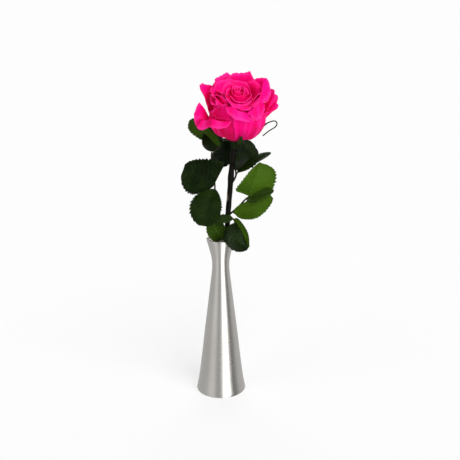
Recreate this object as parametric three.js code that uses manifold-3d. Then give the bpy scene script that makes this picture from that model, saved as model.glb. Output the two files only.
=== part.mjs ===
// A preserved rose standing in a brushed steel bud vase.
// Millimetres, +Z up. The origin is on the surface that the vase stands on, under its middle,
// and the front, which the bloom nods towards, is -Y.

import * as THREE from "three";
import { mergeVertices } from "three/addons/utils/BufferGeometryUtils.js";
import Module from "manifold-3d";

const wasm = await Module();
wasm.setup();

// Driving dimensions
const CLEARANCE = 0.3; // between pieces that touch

const VASE = {
  wall: 1.1,
  floor: 1.6,
  sides: 24,
  // [height, outer radius], foot to rim
  outline: [
    [0, 24.3], [0.8, 24.9], [12, 22.8], [39, 19.3], [66, 16.2], [92, 13.0], [117, 9.95], [126, 8.85],
    [133, 8.5], [138, 8.75], [142, 9.4], [150, 11.4], [160, 14.2],
  ],
};

const STEM = {
  radius: 2.6,
  sides: 10,
  steps: 16,
  path: [
    [-6.6, 1.7, 2.2], [-1.5, 1.9, 67], [3.8, 2.1, 132], [5.8, 1.8, 158.5], [7.2, 1.5, 183.5],
    [8.9, 1.3, 205], [10.6, 1.4, 227.5], [12.4, 1.9, 243], [13.5, 1.5, 250.9],
  ],
  // [place along the path, radius, height] of the swellings where leaves leave the stem
  nodes: [[0.715, 3.0, 12], [0.865, 3.0, 12]],
  // [place along the path, turn in degrees, length] of the thorn stubs
  thorns: [[0.3, 200, 2.6], [0.79, 280, 2.2], [0.93, 30, 2.4]],
};

// The hip under the bloom, as [radius, height] below the bloom's base
const HIP = {
  sides: 16,
  outline: [[0, -7], [2.9, -7], [3.6, -5.4], [4.8, -3], [5.6, -0.8], [5, 0.2], [0, 0.2]],
};

const BLOOM = {
  tilt: 30, // degrees towards the front
  lean: 3, // degrees to the right
  centre: [14.0, -2.6, 258],
  petalThickness: 0.7,
  // [faces across, faces along] a petal of each kind
  ringFaces: [5, 3],
  wideFaces: [5, 4],
  outerFaces: [6, 5],
  root: [5, 4], // [outwards, up] where a petal starts
  shear: 2, // each broad petal lies over its left neighbour and under its right one
  // the smaller core that the petals stand out of, as [radius, height]
  core: [
    [0, 0.6], [5.2, 0.6], [11.5, 4.6], [17, 11.5], [21.5, 19], [22.8, 26], [21, 33], [15, 38], [7, 41],
    [0, 42],
  ],
};

const LEAF = { thickness: 0.6, teeth: 5, toothDepth: 0.05, stalkRadius: 0.85, stalkSides: 5 };

// Small helpers

const radians = (degrees) => (degrees * Math.PI) / 180;
const vector = (xyz) => new THREE.Vector3(...xyz);
const mix = (a, b, t) => a + (b - a) * t;
const smooth = (t) => {
  const x = Math.min(1, Math.max(0, t));
  return x * x * (3 - 2 * x);
};

// A closed geometry as a solid that can be joined and cut.
function solidOf(geometry) {
  const bare = geometry.clone();
  bare.deleteAttribute("normal");
  bare.deleteAttribute("uv");
  const merged = mergeVertices(bare, 1e-4);
  return new wasm.Manifold(
    new wasm.Mesh({
      numProp: 3,
      vertProperties: merged.attributes.position.array,
      triVerts: new Uint32Array(merged.index.array),
    }),
  );
}

// The largest body of a solid, without loose scraps and sealed hollows.
function mainBody(solid) {
  return solid.decompose().reduce((a, b) => (b.volume() > a.volume() ? b : a));
}

function fuse(solids) {
  return mainBody(solids.reduce((all, next) => all.add(next)));
}

function meshOf(name, solid, material) {
  const { numProp, vertProperties, triVerts } = solid.getMesh();
  const positions = new Float32Array((vertProperties.length / numProp) * 3);
  for (let i = 0; i < positions.length / 3; i++)
    positions.set(vertProperties.subarray(i * numProp, i * numProp + 3), i * 3);
  const geometry = new THREE.BufferGeometry();
  geometry.setAttribute("position", new THREE.BufferAttribute(positions, 3));
  geometry.setIndex(new THREE.BufferAttribute(triVerts, 1));
  geometry.computeVertexNormals();
  const mesh = new THREE.Mesh(geometry, material);
  mesh.name = name;
  return mesh;
}

// A round tube along a curve.
function tube(curve, radius, sides, steps) {
  const section = new THREE.Shape();
  for (let i = 0; i < sides; i++) {
    const a = (2 * Math.PI * i) / sides;
    section[i ? "lineTo" : "moveTo"](radius * Math.cos(a), radius * Math.sin(a));
  }
  return solidOf(new THREE.ExtrudeGeometry(section, { steps, bevelEnabled: false, extrudePath: curve }));
}

// A thin blade round a middle sheet. sheet(u, v) is a point, u from -1 to 1 across and v along it.
// Both faces have the same triangles, so a waved blade keeps its thickness.
function blade(sheet, acrossStops, alongStops, thickness) {
  const columns = acrossStops.length;
  const rows = alongStops.length;
  const points = alongStops.flatMap((v) => acrossStops.map((u) => sheet(u, v)));
  const at = (i, j) =>
    points[Math.min(rows - 1, Math.max(0, j)) * columns + Math.min(columns - 1, Math.max(0, i))];
  const faces = [[], []];
  for (let j = 0; j < rows; j++)
    for (let i = 0; i < columns; i++) {
      const across = at(i + 1, j).clone().sub(at(i - 1, j));
      const along = at(i, j + 1).clone().sub(at(i, j - 1));
      const half = across.cross(along).normalize().multiplyScalar(thickness / 2);
      faces[0].push(at(i, j).clone().add(half));
      faces[1].push(at(i, j).clone().sub(half));
    }
  const count = points.length;
  const triangles = [];
  for (let j = 0; j < rows - 1; j++)
    for (let i = 0; i < columns - 1; i++) {
      const a = j * columns + i;
      const [b, c, d] = [a + 1, a + columns, a + columns + 1];
      for (const [p, q, r] of [[a, b, d], [a, d, c]])
        triangles.push(p, q, r, p + count, r + count, q + count);
    }
  const rim = [];
  for (let i = 0; i < columns - 1; i++) rim.push(i);
  for (let j = 0; j < rows - 1; j++) rim.push(j * columns + columns - 1);
  for (let i = columns - 1; i > 0; i--) rim.push((rows - 1) * columns + i);
  for (let j = rows - 1; j > 0; j--) rim.push(j * columns);
  rim.forEach((p, k) => {
    const q = rim[(k + 1) % rim.length];
    triangles.push(q, p, p + count, q, p + count, q + count);
  });
  return new wasm.Manifold(
    new wasm.Mesh({
      numProp: 3,
      vertProperties: new Float32Array([...faces[0], ...faces[1]].flatMap((p) => p.toArray())),
      triVerts: new Uint32Array(triangles),
    }),
  );
}

const evenStops = (from, to, count) =>
  Array.from({ length: count + 1 }, (_, i) => mix(from, to, i / count));

// How far a bent cross-section reaches to the side and up at a share x of its half width,
// where heading(x) is its slope in degrees.
function bend(x, heading) {
  const steps = 8;
  let side = 0;
  let rise = 0;
  for (let i = 0; i < steps; i++) {
    const slope = radians(heading(((i + 0.5) / steps) * x));
    side += (Math.cos(slope) * x) / steps;
    rise += (Math.sin(slope) * x) / steps;
  }
  return { side, rise };
}

// The vase: one turned shell, open at the top

function vase() {
  const inner = VASE.outline
    .filter(([z]) => z > 2 * VASE.floor)
    .map(([z, r]) => new THREE.Vector2(r - VASE.wall, z));
  const [, footRadius] = VASE.outline[1];
  const profile = [
    new THREE.Vector2(0, 0),
    ...VASE.outline.map(([z, r]) => new THREE.Vector2(r, z)),
    ...inner.reverse(),
    new THREE.Vector2(footRadius - 1.5 * VASE.wall, VASE.floor),
    new THREE.Vector2(0, VASE.floor),
  ];
  const turned = new THREE.LatheGeometry(profile, VASE.sides);
  turned.rotateX(Math.PI / 2);
  return solidOf(turned);
}

// The stem, with a swelling at each leaf and the stubs of cut thorns

const stemCurve = new THREE.CatmullRomCurve3(STEM.path.map(vector));

function stem(extra = 0) {
  const parts = [tube(stemCurve, STEM.radius + extra, STEM.sides, STEM.steps)];
  const along = (place) => {
    const turn = new THREE.Quaternion().setFromUnitVectors(
      new THREE.Vector3(0, 0, 1),
      stemCurve.getTangent(place),
    );
    return new THREE.Matrix4().compose(stemCurve.getPoint(place), turn, new THREE.Vector3(1, 1, 1));
  };
  for (const [place, radius, height] of STEM.nodes) {
    const swelling = new THREE.SphereGeometry(1, 10, 6);
    swelling.rotateX(Math.PI / 2);
    swelling.scale(radius + extra, radius + extra, height / 2);
    parts.push(solidOf(swelling.applyMatrix4(along(place))));
  }
  if (!extra)
    for (const [place, turn, length] of STEM.thorns) {
      const thorn = new THREE.ConeGeometry(1.3, length + 1, 6);
      thorn.rotateZ(-Math.PI / 2);
      thorn.scale(1, 1, 1.6);
      thorn.translate(STEM.radius + length / 2 - 0.5, 0, 0);
      thorn.rotateZ(radians(turn));
      parts.push(solidOf(thorn.applyMatrix4(along(place))));
    }
  return fuse(parts);
}

// Leaflets and stalks

// The middle sheet of a leaflet. spine runs from its base to its tip, face is the side that its
// upper surface looks to, half is its half width on the left and the right of that surface, fold
// lifts both halves from the midrib, curl turns their margins down again and taper draws out the tip.
// widest is where along the spine each half is broadest, and a lower blunt makes its outline fuller.
function leafletSheet({ spine, face, half, fold = 15, curl = 25, widest = [0.42, 0.42], blunt = [0.72, 0.72],
  wave = 0.6, taper = 0 }) {
  const curve = new THREE.CatmullRomCurve3(spine.map(vector), false, "catmullrom");
  return (u, v, tooth = 0) => {
    const hand = u < 0 ? 0 : 1;
    const along = curve.getTangent(v);
    const right = along.clone().cross(vector(face)).normalize();
    const up = right.clone().cross(along).normalize();
    const power = Math.log(0.5) / Math.log(widest[hand]);
    const bulge = Math.sin(Math.PI * Math.pow(mix(0.012, 0.985, v), power));
    const outline = Math.pow(bulge, blunt[hand]) * Math.pow(1 - v, taper);
    const reach = half[hand] * outline * (1 + tooth) + 0.5;
    const x = Math.abs(u);
    const { side, rise } = bend(x, (t) => fold - curl * t * t);
    const ripple = wave * x * x * outline * Math.sin(9 * v + 2 * hand);
    return curve
      .getPoint(v)
      .addScaledVector(right, Math.sign(u) * side * reach)
      .addScaledVector(up, rise * reach + ripple);
  };
}

// A leaflet with forward-pointing teeth: the rows fall in turn on the notches and the tooth tips.
function leaflet(shape) {
  const sheet = leafletSheet(shape);
  const stops = [0];
  const depth = new Map([[0, 0]]);
  for (let k = 0; k < LEAF.teeth; k++) {
    const notch = (k + 0.35) / (LEAF.teeth + 0.35);
    const tip = (k + 1.0) / (LEAF.teeth + 0.35);
    stops.push(notch, tip);
    depth.set(notch, -LEAF.toothDepth).set(tip, LEAF.toothDepth);
  }
  stops.push(1);
  depth.set(1, 0);
  const toothed = (u, v) => sheet(u, v, Math.abs(u) === 1 ? depth.get(v) : 0);
  return blade(toothed, [-1, -0.5, 0, 0.5, 1], stops, LEAF.thickness);
}

function stalk(points) {
  const curve = new THREE.CatmullRomCurve3(points.map(vector), false, "catmullrom");
  return tube(curve, LEAF.stalkRadius, LEAF.stalkSides, 2 * (points.length - 1));
}

// A compound leaf: its stalks and leaflets in one body, cut back from the stem.
function compoundLeaf({ stalks, leaflets }) {
  const parts = [...stalks.map(stalk), ...leaflets.map(leaflet)];
  return mainBody(fuse(parts).subtract(stem(CLEARANCE)));
}

const LEAVES = {
  leaf_left: {
    stalks: [
      [[5.2, -0.5, 166], [0.5, 0.5, 179], [-4, 3, 192.5], [-5.4, 6, 206.9], [-5.6, 7, 212.6],
        [-6.8, 9, 226], [-8.7, 10, 237.5], [-8.1, 10, 244.5]],
      [[-8.3, 10, 239], [-5, 9.5, 245], [-0.5, 8.4, 249.5]],
    ],
    leaflets: [
      { spine: [[-5.4, 5.6, 207.5], [-11.5, -5, 195.5], [-15, -11, 175]],
        face: [-0.3, -0.85, 0.45], half: [14.5, 17], widest: [0.6, 0.6], blunt: [0.6, 0.45] },
      { spine: [[-5.6, 6.6, 213], [-19, 8, 220], [-36, 12, 226.5]],
        face: [-0.25, -0.97, -0.03], half: [20.5, 22.5], widest: [0.62, 0.12], blunt: [0.42, 0.41], fold: 8 },
      { spine: [[-8.1, 10, 243.8], [-7.6, 12, 255], [-6.2, 20, 272]],
        face: [0.2, -0.9, 0.4], half: [10, 10] },
      { spine: [[-0.6, 8.4, 249.3], [-15, 10, 262.5], [-27, 6, 275]],
        face: [-0.1, 0.75, 0.65], half: [6, 12], widest: [0.42, 0.65], blunt: [0.72, 0.6] },
    ],
  },
  leaf_back: {
    stalks: [
      [[12, 1, 216], [14.7, 3.4, 221.2], [14.6, 6.5, 226], [13.6, 9, 232], [13.8, 11, 243.1]],
      [[14.7, 3.6, 221.4], [15.5, 4.8, 223], [17, 6, 225]],
    ],
    leaflets: [
      { spine: [[16.4, 5.8, 224.5], [31, 3.5, 233.5], [47.9, 1, 243.4]],
        face: [-0.45, -0.25, 0.85], half: [12, 8] },
      { spine: [[11.5, 11.5, 242], [24, 15, 241.5], [34.5, 28, 245]],
        face: [0.1, -0.95, 0.25], half: [15, 16.5], widest: [0.55, 0.24], blunt: [0.6, 0.4] },
      { spine: [[13.8, 11, 242.2], [3.5, 16.5, 239.7], [-9, 27, 236]],
        face: [-0.1, -0.85, 0.5], half: [13, 15] },
    ],
  },
  leaf_right: {
    stalks: [
      [[8.4, -1, 184], [11.5, -3, 187.2], [17.5, -7, 193.5], [23.3, -10, 200.6], [27.1, -11, 204],
        [29.4, -12, 207.4], [30.6, -12.5, 212.2]],
      [[11.8, -3.3, 187.5], [14.4, -6, 186]],
    ],
    leaflets: [
      { spine: [[28.4, -12, 204], [31, -16, 217], [35.5, -13, 230], [37.5, -6, 235.5]],
        face: [0.1, 0.9, -0.25], half: [18.5, 15], widest: [0.46, 0.05], blunt: [0.4, 0.8] },
      { spine: [[25.6, -11.5, 202], [37.1, -19, 206.9], [49.4, -25, 212]],
        face: [-0.2, -0.5, 0.85], half: [9, 9] },
      { spine: [[13.8, -5.6, 186], [30, -13, 194.1], [48, -18, 205.5]],
        face: [0.25, 0.9, 0.3], half: [12, 7], blunt: [0.55, 0.55] },
    ],
  },
  leaf_low_right: {
    stalks: [
      [[8.5, -2, 180.5], [11.3, -5, 181.6], [14.9, -10, 178]],
    ],
    leaflets: [
      { spine: [[13, -7.5, 181], [20.5, -17, 171], [26.8, -19, 156.4]], face: [0.8, 0.5, 0.1], half: [7, 7] },
      { spine: [[14.9, -10, 178], [14.5, -17, 170], [18, -20, 162], [26, -19.5, 155]],
        face: [0.1, -0.75, 0.6], half: [7, 12.5], widest: [0.5, 0.5], blunt: [0.72, 0.8] },
      { spine: [[11.3, -5.3, 181.7], [3.4, -8, 181.5], [-7, -10, 179.5]],
        face: [-0.1, -0.6, 0.8], half: [5, 5] },
    ],
  },
  leaf_low_left: {
    stalks: [[[5.4, -2, 157], [2.3, -4, 161]]],
    leaflets: [
      { spine: [[2.6, -3.8, 160.4], [-4.4, -5.5, 170], [-8, -4, 186]], face: [-0.2, 0.9, 0.2], half: [9, 9] },
    ],
  },
};

// The bloom's own frame: +Z along its axis, +Y up and away from the front

const bloomFrame = (() => {
  const axis = new THREE.Vector3(
    Math.sin(radians(BLOOM.lean)),
    -Math.sin(radians(BLOOM.tilt)),
    Math.cos(radians(BLOOM.tilt)),
  ).normalize();
  const right = new THREE.Vector3(0, 1, 0).cross(axis).normalize();
  const back = axis.clone().cross(right);
  return new THREE.Matrix4().makeBasis(right, back, axis).setPosition(...BLOOM.centre);
})();

// The path of a petal from root to rim: a curve whose last part rolls over by a further roll degrees.
// It gives the place [outwards, up] and the lean of the petal at a share t, and runs on past 1 for a tip.
function petalPath(root, belly, rim, lip, roll, rollFrom) {
  const curve = new THREE.CubicBezierCurve(
    new THREE.Vector2(...root),
    new THREE.Vector2(belly, root[1]),
    new THREE.Vector2(rim[0] - 0.8 * lip[0], rim[1] - 9 + 3.8 * lip[1]),
    new THREE.Vector2(rim[0] + lip[0], rim[1] - lip[1]),
  );
  const steps = 100;
  const rows = [];
  const place = new THREE.Vector2(...root);
  for (let k = 0; k <= 1.2 * steps; k++) {
    const start = Math.min(k, steps - 1) / steps;
    const step = curve.getPoint(start + 1 / steps).sub(curve.getPoint(start));
    const lean = step.angle() - radians(roll) * smooth((k / steps - rollFrom) / (1.05 - rollFrom));
    rows.push([place.x, place.y, lean]);
    place.x += step.length() * Math.cos(lean);
    place.y += step.length() * Math.sin(lean);
  }
  return (t) => {
    const k = Math.min(Math.floor(t * steps), rows.length - 2);
    return rows[k].map((value, i) => mix(value, rows[k + 1][i], t * steps - k));
  };
}

// The middle sheet of a petal. turn is the side of the bloom it grows on, belly how far out it
// swells, rim the [outwards, up] place of its upper edge and lip how far the edge rolls over
// outwards and down. half is its half width, drop how far its top corners round down, cup the
// degrees its margins wrap in at the root and at the rim, flare the degrees they roll back, point
// and tipAt the length and place of its tip, shear a spiral overlap.
function petalSheet({ turn, root = BLOOM.root, belly, rim, lip, half, drop = 0.22, cup, flare, point = 0.05,
  tipAt = 0, shear = 0, wave = 0.8, phase = 0, roll = 0, rollFrom = 0.8, ruffle = 0.25 }) {
  const path = petalPath(root, belly, rim, lip, roll, rollFrom);
  const frame = bloomFrame.clone().multiply(new THREE.Matrix4().makeRotationZ(radians(turn)));
  return (u, v) => {
    const x = Math.abs(u);
    const tip = point * Math.pow(v, 6) * Math.pow(Math.max(0, 1 - Math.abs(u - tipAt) / 0.45), 1.5);
    const [out, up, lean] = path(v * (1 - drop * v * Math.pow(x, 2.4)) + tip);
    const reach = half * mix(0.3, 1, smooth(v / 0.6)) * mix(1, 0.86, smooth((v - 0.6) / 0.4));
    const rolled = flare * smooth((v - 0.45) / 0.55);
    const slope = (s) => mix(...cup, v) * s - rolled * Math.pow(Math.max(0, s - 0.45) / 0.55, 1.5);
    const { side, rise } = bend(x, slope);
    const wavy = wave * v * v * x * Math.sin(5 * u + 4 * v + phase);
    const frill = Math.sin(11 * u + 3 * phase) + 0.6 * Math.sin(19 * u + 5 * v + phase);
    const lift = rise * reach + wavy + ruffle * Math.pow(v, 3) * frill;
    return new THREE.Vector3(
      out - Math.sin(lean) * lift + shear * u,
      Math.sign(u) * side * reach,
      up + Math.cos(lean) * lift,
    ).applyMatrix4(frame);
  };
}

// The middle sheet of a petal that is led through ribs. Each rib is a row of [radius, turn, height]
// places round the bloom's axis, from root to rim, and the ribs follow one another round the bloom.
function ribSheet({ ribs, drop = 0.05, ruffle = 0.3, crease = 0.4, phase = 0 }) {
  const smoothCurve = (points) => new THREE.CatmullRomCurve3(points, false, "catmullrom");
  const curves = ribs.map((rib) => smoothCurve(rib.map(([radius, turn, height]) =>
    new THREE.Vector3(radius * Math.cos(radians(turn)), radius * Math.sin(radians(turn)), height))));
  const spot = (u, v) => {
    const t = v * (1 - drop * v * Math.pow(u, 6));
    return smoothCurve(curves.map((curve) => curve.getPoint(t))).getPoint((u + 1) / 2);
  };
  return (u, v) => {
    const across = spot(Math.min(u + 0.02, 1), v).sub(spot(Math.max(u - 0.02, -1), v));
    const along = spot(u, Math.min(v + 0.01, 1)).sub(spot(u, Math.max(v - 0.01, 0)));
    const frill = Math.sin(9 * u + 3 * phase) + 0.6 * Math.sin(17 * u + 4 * v + phase);
    const lift = ruffle * Math.pow(v, 4) * frill + crease * v * v * Math.sin(6 * u + 5 * v + 2 * phase);
    return spot(u, v).addScaledVector(across.cross(along).normalize(), lift).applyMatrix4(bloomFrame);
  };
}

// The calyx: the hip that carries the bloom, and five sepals bent back under it. Each spine is in
// the bloom's own frame, and its face is towards the petals.
const SEPALS = [
  { spine: [[4.2, -1.6, -1.4], [11, -2, 3], [17.6, -2, 9.4], [22.4, -1.5, 14.6], [25.4, -1, 17.6],
    [31.5, -1.5, 22], [35.2, -2.2, 23.2], [36.8, -4, 22], [35.4, -6.4, 19.8], [30, -9.1, 17],
    [24.6, -12.3, 13.5]], half: [2.6, 2.6], widest: [0.3, 0.3], taper: 3.5, rows: 20 },
  { spine: [[-4.4, -1.6, -1.4], [-11, -5, 1], [-16, -5.5, 5], [-22.2, -3, 12.6]], half: [2.6, 2.6], rows: 8 },
  { spine: [[0.6, -4.6, -1.4], [2.4, -12, 1.6], [3.6, -19.5, 7.6], [4.4, -24.8, 15.5], [5, -27.6, 22.5]],
    half: [3.4, 3.4], rows: 8 },
  { spine: [[3.2, 3.4, -1.4], [9, 11, -0.6], [13, 16, 3.4], [17, 20, 9]], half: [2.6, 2.6], rows: 8 },
  { spine: [[-2.6, 3.8, -1.4], [-8, 12, -1], [-13, 19, 0.5], [-18, 24, 0.5]], half: [2.6, 2.6], rows: 8 },
];

function calyx() {
  const profile = HIP.outline.map(([r, z]) => new THREE.Vector2(r, z));
  const hip = new THREE.LatheGeometry(profile, HIP.sides).rotateX(Math.PI / 2).applyMatrix4(bloomFrame);
  const sepals = SEPALS.map((shape) => {
    const plain = { face: [0, 0, 1], fold: 10, curl: 0, widest: [0.16, 0.16], wave: 0, taper: 1.6 };
    const sheet = leafletSheet({ ...plain, ...shape });
    const placed = (u, v) => sheet(u, v).applyMatrix4(bloomFrame);
    return blade(placed, [-1, 0, 1], evenStops(0, 1, shape.rows), LEAF.thickness);
  });
  return fuse([solidOf(hip), ...sepals]);
}

// The inner petals wind round the bud, each as [turn, rim radius, rim height, half span in degrees,
// belly, overlap, drop of its corners], from the bud outwards.
const RINGS = [
  [200, 2.7, 53.6, 120, 7, 0.7, 0.08],
  [100, 5.0, 52.5, 100, 8.6, 0.8, 0.08],
  [265, 5.8, 51.8, 100, 9.2, 0.8, 0.1],
  [15, 7.0, 50.0, 75, 9.6, 0.8, 0.1],
  [188, 8.4, 51.0, 80, 10.5, 1.2, 0.3],
  [282, 10.0, 49.8, 76, 12, 1.0, 0.1],
  [172, 11.6, 51.4, 84, 12.8, 1.0, 0.3],
  [272, 12.8, 49.6, 64, 14.8, 1.0, 0.1],
  [162, 14.2, 51.6, 80, 15.4, 1.0, 0.3],
  [288, 15.0, 48.8, 58, 17.4, 1.0, 0.1],
  [178, 16.6, 51.2, 70, 18.4, 1.0, 0.3],
];

// The broad petals round the rings, which open outwards
const WIDE_PETALS = [
  { turn: 92, root: [7, 30], belly: 9, rim: [13, 52], lip: [3, 0.6], half: 15, cup: [80, 62], flare: 10,
    roll: 40 },
  { turn: 18, root: [8, 28], belly: 12, rim: [17, 51.5], lip: [3.5, 1.5], half: 19, cup: [80, 60],
    flare: 30, roll: 70 },
  { turn: 335, root: [10, 20], belly: 20, rim: [17, 47.5], lip: [4, 2.5], half: 16, cup: [70, 55],
    flare: 40, roll: 80 },
  { turn: 178, root: [9, 20], belly: 21, rim: [19, 51], lip: [4, 2], half: 20, cup: [75, 58],
    flare: 30, roll: 70 },
  { turn: 200, root: [10, 18], belly: 23, rim: [21.5, 46.5], lip: [3, 1.5], half: 15, cup: [70, 58],
    flare: 30, roll: 70 },
  { turn: 236, root: [9, 18], belly: 22, rim: [18.5, 48.5], lip: [4, 3], half: 18, cup: [70, 50],
    flare: 40, roll: 80, point: 0.03 },
  { turn: 280, root: [9, 18], belly: 22, rim: [16.5, 48.5], lip: [4, 2.5], half: 17, cup: [70, 55],
    flare: 30, roll: 80 },
];

// The outer petals, large ones through their ribs, and the lower ones that close the cup under them
const OUTER_PETALS = [
  // low on the left, standing out to a tip and folded down in front
  {
    ribs: [
      [[5, 200, 4], [18, 196, 12], [26, 191, 26], [30, 189, 34], [36, 190, 43]],
      [[5, 205, 4], [18.5, 202, 12], [28, 199, 24], [34, 196, 30], [40, 195, 30]],
      [[5, 212, 4], [19, 210, 12], [29, 208, 25], [35, 207, 29], [40, 205, 23]],
      [[5, 222, 4], [19.5, 221, 12], [29.5, 220, 26], [33.5, 217, 32.5], [38, 218, 23.5]],
      [[5, 228, 4], [19, 228, 12], [27.5, 230, 27], [31.5, 231, 36], [35, 232, 29.5]],
      [[5, 233, 4], [18.4, 234, 12], [26.5, 237, 26], [29.5, 249, 37.5], [33, 252, 32.5]],
      [[5, 237, 4], [18, 238, 12], [25.8, 241, 26], [28.3, 256, 36.5], [29.5, 262, 39]],
    ],
  },
  // a wing behind it on the left
  {
    ribs: [
      [[5, 140, 4], [18, 142, 12], [25, 145, 30], [25, 148, 42], [26, 150, 47]],
      [[5, 150, 4], [18, 152, 12], [26, 154, 30], [28, 158, 42], [30, 160, 49.5]],
      [[5, 160, 4], [18, 162, 12], [27, 164, 30], [30, 167, 42], [34.5, 168, 51.5]],
      [[5, 170, 4], [18, 170, 12], [26.5, 172, 28], [29.5, 173, 39], [34, 173, 47]],
      [[5, 180, 4], [18, 178, 12], [25, 178, 25], [26.5, 178, 33], [28.5, 177, 39]],
    ],
  },
  // a wing on the right
  {
    ribs: [
      [[5, -20, 4], [17, -17, 12], [23, -14, 22], [26, -13, 29], [26.5, -12, 35]],
      [[5, -12, 4], [17, -10, 12], [24, -8, 24], [29, -7, 31], [31, -8, 35.5]],
      [[5, -4, 4], [17, -3, 12], [24.8, -2, 26], [31, -1, 34], [36, 0, 39]],
      [[5, 4, 4], [17, 4, 12], [25.4, 4, 28], [30, 6, 36], [35.5, 7, 44.5]],
      [[5, 12, 4], [17, 12, 12], [26, 12, 30], [29.5, 13, 39], [32.5, 14, 50]],
      [[5, 20, 4], [18, 20, 12], [26, 21, 30], [27, 21, 39], [27, 22, 48]],
    ],
    ruffle: 0.9,
  },
  // the right side, rolled outwards
  {
    ribs: [
      [[5, -28, 4], [18, -28, 12], [24, -27, 30], [18, -25, 42], [19.5, -25, 43]],
      [[5, -18, 4], [18, -17, 12], [24, -16, 32], [18, -15, 46], [21.5, -17, 44]],
      [[5, -8, 4], [18, -7, 12], [24, -6, 34], [19.5, -5, 50], [26, -6, 43.5]],
      [[5, 0, 4], [18, 2, 12], [24, 4, 35], [20.5, 5, 52.5], [28.5, 6, 47]],
      [[5, 10, 4], [18, 12, 12], [24, 14, 35], [21.5, 16, 54], [29.6, 14, 51]],
      [[5, 20, 4], [18, 22, 12], [24.5, 24, 35], [23.5, 28, 54.5], [28.5, 30, 57]],
      [[5, 32, 4], [18, 36, 12], [24, 40, 34], [22, 46, 51.5], [24, 48, 54]],
    ],
  },
  // the right back, the back, the left back and the left
  { turn: 48, belly: 27, rim: [21, 52], lip: [2.5, 0], half: 15, cup: [70, 50], flare: 30, point: 0.02,
    roll: 20 },
  { turn: 84, belly: 26, rim: [19.5, 56], lip: [2.5, 0], half: 17, cup: [70, 50], flare: 30, point: 0.1,
    tipAt: -0.45, roll: 10, drop: 0.14 },
  { turn: 134, belly: 27, rim: [20.5, 54], lip: [4, 0], half: 17, cup: [70, 50], flare: 40,
    point: 0.04, tipAt: -0.5, roll: 20, drop: 0.16, ruffle: 0.5 },
  { turn: 168, belly: 27, rim: [20.5, 51], lip: [4, 2], half: 18, cup: [70, 50], flare: 50, roll: 50 },
  // the left front, with a tip and a wide fold that falls to the right
  {
    ribs: [
      [[5, 215, 4], [17.5, 208, 12], [25, 205, 26], [25.5, 205, 33], [26.5, 205, 37]],
      [[5, 222, 4], [17.5, 218, 12], [25, 218, 30], [25, 218, 42], [27.5, 219, 39]],
      [[5, 236, 4], [17.5, 236, 12], [25, 236, 30], [23.5, 237, 43], [22, 239, 49.5]],
      [[5, 250, 4], [17.5, 252, 12], [25, 252, 32], [23, 254, 48.5], [28.5, 252, 46]],
      [[5, 265, 4], [17.5, 268, 12], [25, 270, 32], [24.5, 271, 47.5], [30.5, 270, 42]],
      [[5, 280, 4], [17.5, 284, 12], [25, 287, 31], [25, 288, 44], [30.5, 288, 39]],
      [[5, 290, 4], [17.5, 294, 12], [25.5, 297, 28], [26, 298, 39], [28.5, 297, 37]],
    ],
  },
  // the right front, folded down from its crest
  {
    ribs: [
      [[5, 285, 4], [17.5, 288, 12], [25, 290, 30], [24.5, 290, 43.5], [26.5, 291, 44]],
      [[5, 298, 4], [17.5, 300, 12], [25.5, 302, 30], [23.5, 305, 46.5], [30, 302, 38.5]],
      [[5, 310, 4], [17.5, 314, 12], [25.5, 317, 30], [22, 318, 47.5], [28.5, 314, 37]],
      [[5, 322, 4], [17.5, 326, 12], [25.5, 328, 30], [21.5, 327, 48], [27, 325, 36]],
      [[5, 332, 4], [17.5, 336, 12], [25, 338, 28], [24, 338, 46.5], [26, 338, 37.5]],
    ],
  },
  // the bottom of the cup: its middle, right and left
  {
    ribs: [
      [[5, 268, 4], [17.6, 268, 12], [25, 264, 27], [25.2, 260, 36], [25.6, 258, 41]],
      [[5, 275, 4], [19, 274, 12], [27.2, 271, 27], [27.8, 268, 36], [27.8, 268, 42]],
      [[5, 284, 4], [18.5, 284, 12], [26.8, 285, 27], [27.4, 286, 36], [27.5, 288, 42]],
      [[5, 292, 4], [19.2, 294, 12], [28, 297, 26], [29, 300, 34], [29.5, 302, 39]],
    ],
  },
  {
    ribs: [
      [[5, 286, 4], [17, 287, 11], [24.2, 291, 25], [24.6, 294, 33], [24.6, 296, 37]],
      [[5, 303, 4], [18.6, 304, 11], [25.4, 306, 25], [25.6, 308, 33], [25.4, 310, 37]],
      [[5, 323, 4], [21, 326, 11], [28, 328, 25], [27.5, 328, 33], [26.5, 328, 37]],
      [[5, 343, 4], [20, 346, 11], [26.5, 346, 24], [26, 346, 32], [26, 345, 36]],
    ],
  },
  { turn: 350, belly: 23, rim: [22, 42], lip: [2, 1], half: 18, cup: [70, 60], flare: 30 },
  {
    ribs: [
      [[5, 195, 4], [18, 195, 12], [25.5, 195, 24], [25.5, 195, 30], [26, 195, 33]],
      [[5, 215, 4], [18, 214, 12], [26, 212, 25], [26, 212, 32], [26.5, 212, 36]],
      [[5, 235, 4], [18, 236, 12], [26, 236, 26], [26, 236, 33], [26.5, 236, 37]],
      [[5, 258, 4], [17.6, 260, 12], [25.2, 264, 26], [25.2, 268, 34], [25.2, 270, 38]],
    ],
  },
];

const ringPetal = ([turn, radius, height, span, belly, shear, drop], phase) => {
  const share = Math.min(1, radius / 17);
  return {
    turn,
    root: [mix(2, 9, share), mix(39, 34, share)],
    belly,
    rim: [radius, height],
    lip: [mix(0.1, 2.6, share), mix(0, 1.4, share)],
    half: (radius * radians(span)) / 0.86,
    cup: [0.8 * span, span],
    flare: mix(0, 22, share),
    drop,
    point: 0.02,
    shear,
    wave: 0.3,
    phase,
    roll: mix(10, 150, share),
    rollFrom: mix(0.85, 0.76, share),
    ruffle: mix(0.05, 0.25, share),
  };
};

function petal(shape, [columns, rows]) {
  const sheet = shape.ribs ? ribSheet(shape) : petalSheet(shape);
  return blade(sheet, evenStops(-1, 1, columns), evenStops(0, 1, rows), BLOOM.petalThickness);
}

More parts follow.
